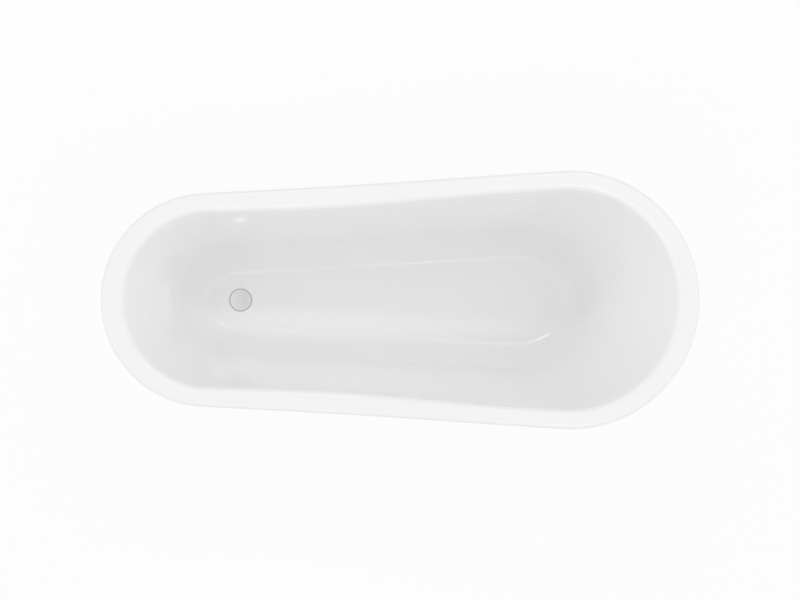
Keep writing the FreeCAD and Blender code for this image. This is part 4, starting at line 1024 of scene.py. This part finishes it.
def quarter(radius_at, z_at, size, start_deg, steps=5):
    """A quarter round of a profile, as radii and heights, turning left from a start angle."""
    angles = [math.radians(start_deg + 90.0 * k / steps) for k in range(steps + 1)]
    return [(radius_at + size * math.cos(a), z_at + size * math.sin(a)) for a in angles]


# %% [markdown]
# ## The waste's cap
# The only metal in the photo. It is a low dome with a rounded edge, and it reflects the room in one
# soft gradient. Underneath it has a boss for the plunger and a groove that holds the seal, which
# show when the cap is up.

# %% Turn the cap
CAP_RADIUS, CAP_LOW_Z, CAP_TOP_Z, CAP_EDGE_Z, CAP_EDGE_ROUND = 0.0325, 0.162, 0.1666, 0.165, 0.0011
CAP_BOSS_RADIUS, CAP_BOSS_LOW_Z = 0.0075, 0.157
CAP_BOSS_BEVEL, CAP_UNDER_BEVEL, CAP_TIP, DOME_STEPS = 0.0005, 0.0003, 0.0005, 12
SEAL_INNER, SEAL_OUTER, SEAL_GROOVE = 0.0265, 0.0310, 0.0006


def cap_profile():
    dome_height = CAP_TOP_Z - CAP_EDGE_Z
    dome_radius = (CAP_RADIUS**2 + dome_height**2) / (2 * dome_height)
    groove_z = CAP_LOW_Z + SEAL_GROOVE
    profile = [(CAP_TIP, CAP_BOSS_LOW_Z), (CAP_BOSS_RADIUS - CAP_BOSS_BEVEL, CAP_BOSS_LOW_Z)]
    profile += [(CAP_BOSS_RADIUS, CAP_BOSS_LOW_Z + CAP_BOSS_BEVEL), (CAP_BOSS_RADIUS, CAP_LOW_Z)]
    profile += [(SEAL_INNER, CAP_LOW_Z), (SEAL_INNER, groove_z)]
    profile += [(SEAL_OUTER, groove_z), (SEAL_OUTER, CAP_LOW_Z)]
    profile += [(CAP_RADIUS - CAP_UNDER_BEVEL, CAP_LOW_Z), (CAP_RADIUS, CAP_LOW_Z + CAP_UNDER_BEVEL)]
    profile += quarter(CAP_RADIUS - CAP_EDGE_ROUND, CAP_EDGE_Z - CAP_EDGE_ROUND, CAP_EDGE_ROUND, 0.0)
    for share in [n / DOME_STEPS for n in range(1, DOME_STEPS)]:
        radius = (CAP_RADIUS - CAP_EDGE_ROUND) * (1.0 - share) + CAP_TIP * share
        profile.append((radius, CAP_TOP_Z - dome_radius + math.sqrt(dome_radius**2 - radius**2)))
    return profile


cap = turned(cap_profile(), (WASTE.x, WASTE.y), 128)
smooth(cap, 35)
dress(cap, "cap", "waste_plug", chrome, "waste_chrome", ["waste_cap"])


# %% [markdown]
# ## Hexagons
# Nuts and screw heads are hexagons whose corners are cut by a cone, which leaves the curved edges
# that one knows from every nut. A bevel would cut straight. So each ring near an end is the
# hexagon or the cone's circle, whichever lies further in.

# %% Hexagons with cut corners
CONE_START, CONE_DEGREES = 0.97, 62.0  # the cone's radius on the end face, as a share, and its slope
CHAMFER_DEPTH, CHAMFER_STEPS = 0.0016 / 0.017, 4  # a share of the width across the flats
COUNTERSINK = 0.08  # a share of the nut's height


def hex_row(across, z, distance_to_face, centre, around=72):
    """A hexagon's outline at a height, where a cone cuts its corners close to the end faces."""
    cone = across / 2 * CONE_START + distance_to_face * math.tan(math.radians(CONE_DEGREES))
    row = []
    for k in range(around):
        angle = 2 * math.pi * k / around
        to_flat = (angle + math.pi / 6) % (math.pi / 3) - math.pi / 6
        radius = min(across / 2 / math.cos(to_flat), cone)
        row.append(Vector((centre[0] + radius * math.cos(angle), centre[1] + radius * math.sin(angle), z)))
    return row


def hex_rows(across, low_z, high_z, centre=(0.0, 0.0)):
    """The rings of a hexagon with both ends cut."""
    depth = min(CHAMFER_DEPTH * across, (high_z - low_z) / 2.2)
    steps = [depth * n / CHAMFER_STEPS for n in range(CHAMFER_STEPS + 1)]
    rows = [hex_row(across, low_z + step, step, centre) for step in steps]
    return rows + [hex_row(across, high_z - step, step, centre) for step in reversed(steps)]


def make_nut(across, low_z, high_z, bore, centre=(0.0, 0.0), lip=None):
    """A nut with a countersunk bore, and a narrower lip under it if given as radius and height."""
    sink = (high_z - low_z) * COUNTERSINK
    inner = [(bore + sink, high_z), (bore, high_z - sink)]
    if lip:
        inner += [(bore, low_z + lip[1]), (lip[0], low_z + lip[1]), (lip[0], low_z)]
    else:
        inner += [(bore, low_z + sink), (bore + sink, low_z)]
    inside = [circle(radius, z, centre, 72) for radius, z in inner]
    return ring_solid(hex_rows(across, low_z, high_z, centre) + inside, closed=True)


# %% [markdown]
# ## Under the waste
# A large lock nut draws the waste down on its gasket. A second one below has a lip, and the
# tailpiece hangs in it by its flange. Both nuts are machined brass, so they share one tool.

# %% The waste's two large nuts
WASTE_CENTRE, WASTE_BORE = (WASTE.x, WASTE.y), 0.02405
LOCK_NUT_ACROSS, LOCK_NUT_LOW_Z, LOCK_NUT_HIGH_Z = 0.064, 0.1323, 0.1433
TAIL_NUT_ACROSS, TAIL_NUT_LOW_Z, TAIL_NUT_HIGH_Z, TAIL_NUT_LIP = 0.060, 0.0873, 0.1053, (0.0210, 0.003)
lock_nut = make_nut(LOCK_NUT_ACROSS, LOCK_NUT_LOW_Z, LOCK_NUT_HIGH_Z, WASTE_BORE, WASTE_CENTRE)
smooth(lock_nut, 25)
dress(lock_nut, "lock_nut", "tub", nickel, "waste_brass", ["waste_lock_nut"])
tail_nut = make_nut(
    TAIL_NUT_ACROSS, TAIL_NUT_LOW_Z, TAIL_NUT_HIGH_Z, WASTE_BORE, WASTE_CENTRE, TAIL_NUT_LIP
)
smooth(tail_nut, 25)
dress(tail_nut, "tail_nut", "tub", nickel, "waste_brass", ["waste_tail_nut"])

# %% The tailpiece, swaged out to a collar and a flange
TAIL_RADIUS, TAIL_BORE, TAIL_END_Z, TAIL_MIDDLE_Z = 0.01905, 0.01755, 0.022, 0.05
COLLAR_RADIUS, COLLAR_LOW_Z = 0.0206, 0.0858
FLANGE_RADIUS, FLANGE_LOW_Z, FLANGE_HIGH_Z = 0.0234, 0.0903, 0.0923
tail_profile = [(TAIL_BORE + 0.0004, TAIL_END_Z), (TAIL_RADIUS - 0.0004, TAIL_END_Z)]
tail_profile += [(TAIL_RADIUS, TAIL_END_Z + 0.0005), (TAIL_RADIUS, TAIL_MIDDLE_Z)]
tail_profile += [(TAIL_RADIUS, COLLAR_LOW_Z - 0.0012)]
tail_profile += [(TAIL_RADIUS + 0.0005, COLLAR_LOW_Z - 0.0004), (COLLAR_RADIUS, COLLAR_LOW_Z + 0.0004)]
tail_profile += [(COLLAR_RADIUS, FLANGE_LOW_Z), (FLANGE_RADIUS, FLANGE_LOW_Z)]
tail_profile += [(FLANGE_RADIUS, FLANGE_HIGH_Z)]
tail_profile += [(TAIL_BORE, FLANGE_HIGH_Z), (TAIL_BORE, TAIL_END_Z + 0.0006)]
tail = ring_solid([circle(radius, z, WASTE_CENTRE, 96) for radius, z in tail_profile], closed=True)
smooth(tail, 30)
dress(tail, "tail_tube", "tub", chrome, "waste_chrome", ["waste_tailpiece"])


# %% [markdown]
# ## Levelling screws
# Floors are never flat, so a screw under each ball levels the tub. It is a hexagon to turn it by, a
# neck that stands in the pad, and a thread that goes up into the ball. The screw operator could wind
# a thread round the axis, but would leave its ends open. Here the thread is a ring that travels
# straight up, and each point's radius follows the helix: in and out once for each pitch, and fading
# out at both ends.

# %% The screw
SCREW_RADIUS, THREAD_DEPTH, THREAD_PITCH = 0.005, 0.0007, 0.0015
HEAD_ACROSS, HEAD_LOW_Z, HEAD_HIGH_Z = 0.017, 0.0054, 0.0094
NECK_LOW_Z, NECK_TOP_Z, NECK_BEVEL, SCREW_TOP_Z = 0.0019, 0.006, 0.0006, 0.0398
THREAD_ROWS_PER_TURN, THREAD_FADE_ROWS, THREAD_SINK = 8, 4, 0.0004


def thread_row(z, fade, around=32):
    """A ring on the thread. The helix is a height that depends on the angle and on z."""
    row = []
    for k in range(around):
        phase = 2 * math.pi * (z / THREAD_PITCH - k / around)
        radius = SCREW_RADIUS - THREAD_DEPTH * (fade + (1 - fade) * (0.5 - 0.5 * math.cos(phase)))
        angle = 2 * math.pi * k / around
        row.append(Vector((radius * math.cos(angle), radius * math.sin(angle), z)))
    return row


def make_screw():
    head = ring_solid(hex_rows(HEAD_ACROSS, HEAD_LOW_Z, HEAD_HIGH_Z))
    neck_profile = [(SCREW_RADIUS - NECK_BEVEL, NECK_LOW_Z), (SCREW_RADIUS, NECK_LOW_Z + NECK_BEVEL)]
    neck = turned(neck_profile + [(SCREW_RADIUS, NECK_TOP_Z)], around=32)
    steps = int((SCREW_TOP_Z - HEAD_HIGH_Z) / THREAD_PITCH * THREAD_ROWS_PER_TURN)
    rows = []
    for n in range(steps + 1):
        z = HEAD_HIGH_Z - THREAD_SINK + (SCREW_TOP_Z - HEAD_HIGH_Z) * n / steps
        fade = max(ease(THREAD_FADE_ROWS, 0, n), ease(steps - THREAD_FADE_ROWS, steps, n))
        rows.append(thread_row(z, fade))
    return join([head, neck, ring_solid(rows)])


# %% [markdown]
# ## Pads
# A moulded rubber disc keeps the screw from marking the floor and from creeping. It has a rounded
# foot, a groove round its side, and a socket in which the screw's neck turns.

# %% The pad
PAD_RADIUS, PAD_HEIGHT, SOCKET_RADIUS, SOCKET_Z, PAD_MIDDLE = 0.016, 0.005, 0.0052, 0.0015, 0.0005
PAD_FOOT_ROUND, PAD_TOP_ROUND = 0.0008, 0.0012
PAD_GROOVE, PAD_GROOVE_Z = 0.0005, (0.0019, 0.0022, 0.0028, 0.0031)
PAD_DISH, PAD_DISH_RADII, SOCKET_BEVEL = 0.0003, (0.0095, 0.0088), 0.0004  # the top is dished a little


def make_pad():
    foot_at, top_at = PAD_RADIUS - PAD_FOOT_ROUND, PAD_RADIUS - PAD_TOP_ROUND
    profile = [(PAD_MIDDLE, 0.0), (foot_at, 0.0)]
    profile += quarter(foot_at, PAD_FOOT_ROUND, PAD_FOOT_ROUND, -90.0, 4)[1:]
    for z, depth in zip(PAD_GROOVE_Z, (0.0, PAD_GROOVE, PAD_GROOVE, 0.0)):
        profile.append((PAD_RADIUS - depth, z))
    profile += quarter(top_at, PAD_HEIGHT - PAD_TOP_ROUND, PAD_TOP_ROUND, 0.0, 5)
    dish_z = PAD_HEIGHT - PAD_DISH
    profile += [(PAD_DISH_RADII[0], PAD_HEIGHT), (PAD_DISH_RADII[1], dish_z)]
    profile += [(SOCKET_RADIUS + SOCKET_BEVEL, dish_z), (SOCKET_RADIUS, dish_z - SOCKET_BEVEL)]
    return turned(profile + [(SOCKET_RADIUS, SOCKET_Z), (PAD_MIDDLE, SOCKET_Z)])


# %% [markdown]
# ## Fixings for every foot
# All four feet take the same screw, pad and nuts. So each of these is modelled once, on the frame's
# upright axis, and copied. A copy gets a mesh of its own, since it carries its own place.

# %% Model a screw, a pad and a nut once, on the frame's upright axis
NUT_ACROSS, NUT_LOW_Z, NUT_HIGH_Z, NUT_BORE = 0.013, 0.0919, 0.0984, 0.00405
screw, pad = make_screw(), make_pad()
nut = make_nut(NUT_ACROSS, NUT_LOW_Z, NUT_HIGH_Z, NUT_BORE)
for first, sharpest in ((screw, 40), (pad, 40), (nut, 25)):
    smooth(first, sharpest)


# %% Copy them to every foot, each copy with its own mesh
def set_down(obj, at):
    """A copy of a piece that stands on the axis, moved to a place beside it."""
    copy = copy_of(obj)
    copy.location = (at.x, at.y, 0.0)
    pick(copy)
    bpy.ops.object.transform_apply(location=True, rotation=True, scale=True)
    return copy


for end, x, splay in FEET:
    for side, sign in (("left", 1.0), ("right", -1.0)):
        tag = end + "_" + side
        place = Matrix.Scale(sign, 4, (0, 1, 0)) @ foot_place(x, splay)
        under_ball = place @ Vector((BALL_U, 0.0, 0.0))
        low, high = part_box("leveller_pad_" + tag)
        off = math.hypot((low[0] + high[0]) / 2 - under_ball.x, (low[1] + high[1]) / 2 - under_ball.y)
        print(tag, "stands", round(1000.0 * off, 3), "mm from the CAD pad's middle")
        level_screw, foot_pad = set_down(screw, under_ball), set_down(pad, under_ball)
        nuts = join([set_down(nut, place @ Vector((STUD_U, v, 0.0))) for v in (-STUD_V, STUD_V)])
        sets = [
            (level_screw, "levelling_screw_", "screw_" + tag, zinc, "fixing_steel", "leveller_screw_"),
            (foot_pad, "foot_pad_", "pad_" + tag, rubber, "pad_rubber", "leveller_pad_"),
            (nuts, "stud_nuts_", "tub", zinc, "fixing_steel", "foot_nuts_"),
        ]
        for piece, name, body, material, slot, node in sets:
            dress(piece, name + tag, body, material, slot, [node + tag])
for first in (screw, pad, nut):
    bpy.data.objects.remove(first, do_unlink=True)

# %% [markdown]
# ## Studio
# The photograph looks straight down from about six metres, on a white floor in a white room. A
# floor and a world that are simply white would light the bath from all sides and flatten it. So
# both have two faces: to the camera they are nearly white, and as light they are only as bright as
# the bath needs. The Light Path node tells which ray asks.

# %% A surface that is white to the eye
def white_to_the_eye(tree, lit, seen, mirrored):
    """Mixes a lit surface with plain white: by one share for the eye, by another in reflections."""
    path = tree.nodes.new("ShaderNodeLightPath")
    shares = []
    for ray, share in (("Is Camera Ray", seen), ("Is Glossy Ray", mirrored), ("Is Transmission Ray", seen)):
        part = tree.nodes.new("ShaderNodeMath")
        part.operation = "MULTIPLY"
        part.inputs[1].default_value = share
        tree.links.new(path.outputs[ray], part.inputs[0])
        shares.append(part)
    largest = tree.nodes.new("ShaderNodeMath")
    largest.operation = "MAXIMUM"
    tree.links.new(shares[0].outputs[0], largest.inputs[0])
    tree.links.new(shares[1].outputs[0], largest.inputs[1])
    share = tree.nodes.new("ShaderNodeMath")
    share.operation = "MAXIMUM"
    tree.links.new(largest.outputs[0], share.inputs[0])
    tree.links.new(shares[2].outputs[0], share.inputs[1])
    white = tree.nodes.new("ShaderNodeEmission")
    mix = tree.nodes.new("ShaderNodeMixShader")
    tree.links.new(share.outputs[0], mix.inputs["Fac"])
    tree.links.new(lit.outputs[0], mix.inputs[1])
    tree.links.new(white.outputs[0], mix.inputs[2])
    return mix


# %% [markdown]
# ### The floor
# A plane, so wide that its edge lies far outside every view. A small share of it is lit, which
# keeps the soft shadow that stands the bath on the floor.

# %% Floor
FLOOR_SIZE, FLOOR_TO_THE_EYE, FLOOR_IN_MIRRORS = 60.0, 0.90, 0.5
deselect_all()
bpy.ops.mesh.primitive_plane_add(size=FLOOR_SIZE)
floor = bpy.context.object
floor.name = "studio_floor"
floor_paint = bpy.data.materials.new("pale floor")
floor_paint.use_nodes = True
tree = floor_paint.node_tree
tree.nodes["Principled BSDF"].inputs["Base Color"].default_value = (0.9, 0.9, 0.9, 1.0)
tree.nodes["Principled BSDF"].inputs["Roughness"].default_value = 0.8
tree.nodes["Principled BSDF"].inputs["Specular IOR Level"].default_value = 0.1
shown = white_to_the_eye(tree, tree.nodes["Principled BSDF"], FLOOR_TO_THE_EYE, FLOOR_IN_MIRRORS)
tree.links.new(shown.outputs[0], tree.nodes["Material Output"].inputs["Surface"])
floor.data.materials.append(floor_paint)
print("laid the floor,", FLOOR_SIZE, "m wide")

# %% [markdown]
# ### The room's light
# In the photo the rim is the brightest part, and the walls darken towards the floor. A room does
# that when its light comes from all round but more from above and from the two ends. So the world's
# brightness depends on direction: an even part, and a part that grows towards each side.

# %% World
WORLD_TO_THE_EYE, WORLD_IN_MIRRORS = 1.0, 0.5
SKY_EVEN, SKY_ABOVE = 0.04, 0.45
SKY_NORTH, SKY_SOUTH, SKY_EAST, SKY_WEST = 0.20, 0.38, 0.74, 0.74


def room_light(tree):
    """Brightness of the room by direction: an even part, and a part that grows towards each side."""
    place = tree.nodes.new("ShaderNodeTexCoord")
    axes = tree.nodes.new("ShaderNodeSeparateXYZ")
    tree.links.new(place.outputs["Generated"], axes.inputs[0])
    total = None
    sides = [("Z", SKY_ABOVE), ("Y", SKY_NORTH), ("Y", -SKY_SOUTH), ("X", SKY_EAST), ("X", -SKY_WEST)]
    for axis, weight in sides:
        part = tree.nodes.new("ShaderNodeMath")
        part.operation = "MULTIPLY"
        part.inputs[1].default_value = weight
        tree.links.new(axes.outputs[axis], part.inputs[0])
        positive = tree.nodes.new("ShaderNodeMath")
        positive.operation = "MAXIMUM"
        positive.inputs[1].default_value = 0.0
        tree.links.new(part.outputs[0], positive.inputs[0])
        add = tree.nodes.new("ShaderNodeMath")
        add.operation = "ADD"
        add.inputs[1].default_value = SKY_EVEN
        tree.links.new(positive.outputs[0], add.inputs[0])
        if total:
            tree.links.new(total.outputs[0], add.inputs[1])
        total = add
    return total


world = bpy.data.worlds.new("white room")
bpy.context.scene.world = world
world.use_nodes = True
tree = world.node_tree
tree.nodes["Background"].inputs["Color"].default_value = (1.0, 1.0, 1.0, 1.0)
tree.links.new(room_light(tree).outputs[0], tree.nodes["Background"].inputs["Strength"])
shown = white_to_the_eye(tree, tree.nodes["Background"], WORLD_TO_THE_EYE, WORLD_IN_MIRRORS)
tree.links.new(shown.outputs[0], tree.nodes["World Output"].inputs["Surface"])
print("lit the room")


# %% [markdown]
# ### The lamps
# The thin lines of light along the crease and the rim are reflections of long lamps. Two narrow
# strips give those, and two large soft lamps at the ends brighten the end walls.

# %% Lamps
def soft_lamp(name, place, towards, width, height, power):
    lamp = bpy.data.lights.new(name, "AREA")
    lamp.shape, lamp.size, lamp.size_y, lamp.energy = "RECTANGLE", width, height, power
    obj = bpy.data.objects.new(name, lamp)
    bpy.context.scene.collection.objects.link(obj)
    obj.location = place
    obj.rotation_euler = (Vector(towards) - Vector(place)).to_track_quat("-Z", "Y").to_euler()
    return obj


soft_lamp("north strip", (0.0, 2.5, 3.9), (0.0, 0.0, 0.4), 3.4, 0.30, 20.0)
soft_lamp("overhead strip", (0.0, -1.5, 4.2), (0.0, 0.0, 0.4), 3.0, 0.30, 12.0)
soft_lamp("east lamp", (3.8, 0.4, 3.0), (0.0, 0.0, 0.4), 3.6, 3.2, 10.0)
soft_lamp("west lamp", (-3.8, 0.2, 3.0), (0.0, 0.0, 0.4), 3.6, 3.2, 8.0)
print("hung four lamps")

# %% [markdown]
# ### The camera
# It looks straight down, as in the photo, from the height at which the waste and the rim both come
# out at the size that they have there. A camera that isn't turned looks down by itself. Its lens
# follows from how many pixels a thing covers in the picture that is as wide as it is far away.

# %% Camera
CAMERA_HEIGHT, CAMERA_X = 5.900, 0.0146
PIXELS_PER_TANGENT, PICTURE_WIDTH, SENSOR_WIDTH = 1838.0, 800.0, 36.0
camera_data = bpy.data.cameras.new("camera")
camera = bpy.data.objects.new("camera", camera_data)
bpy.context.scene.collection.objects.link(camera)
camera.location = (CAMERA_X, 0.0, CAMERA_HEIGHT)
camera_data.sensor_width = SENSOR_WIDTH
camera_data.lens = SENSOR_WIDTH * PIXELS_PER_TANGENT / PICTURE_WIDTH
camera_data.clip_end = 100.0
bpy.context.scene.camera = camera
bpy.context.scene.view_settings.view_transform = "Standard"
print("the camera's lens is", round(camera_data.lens, 2), "mm")
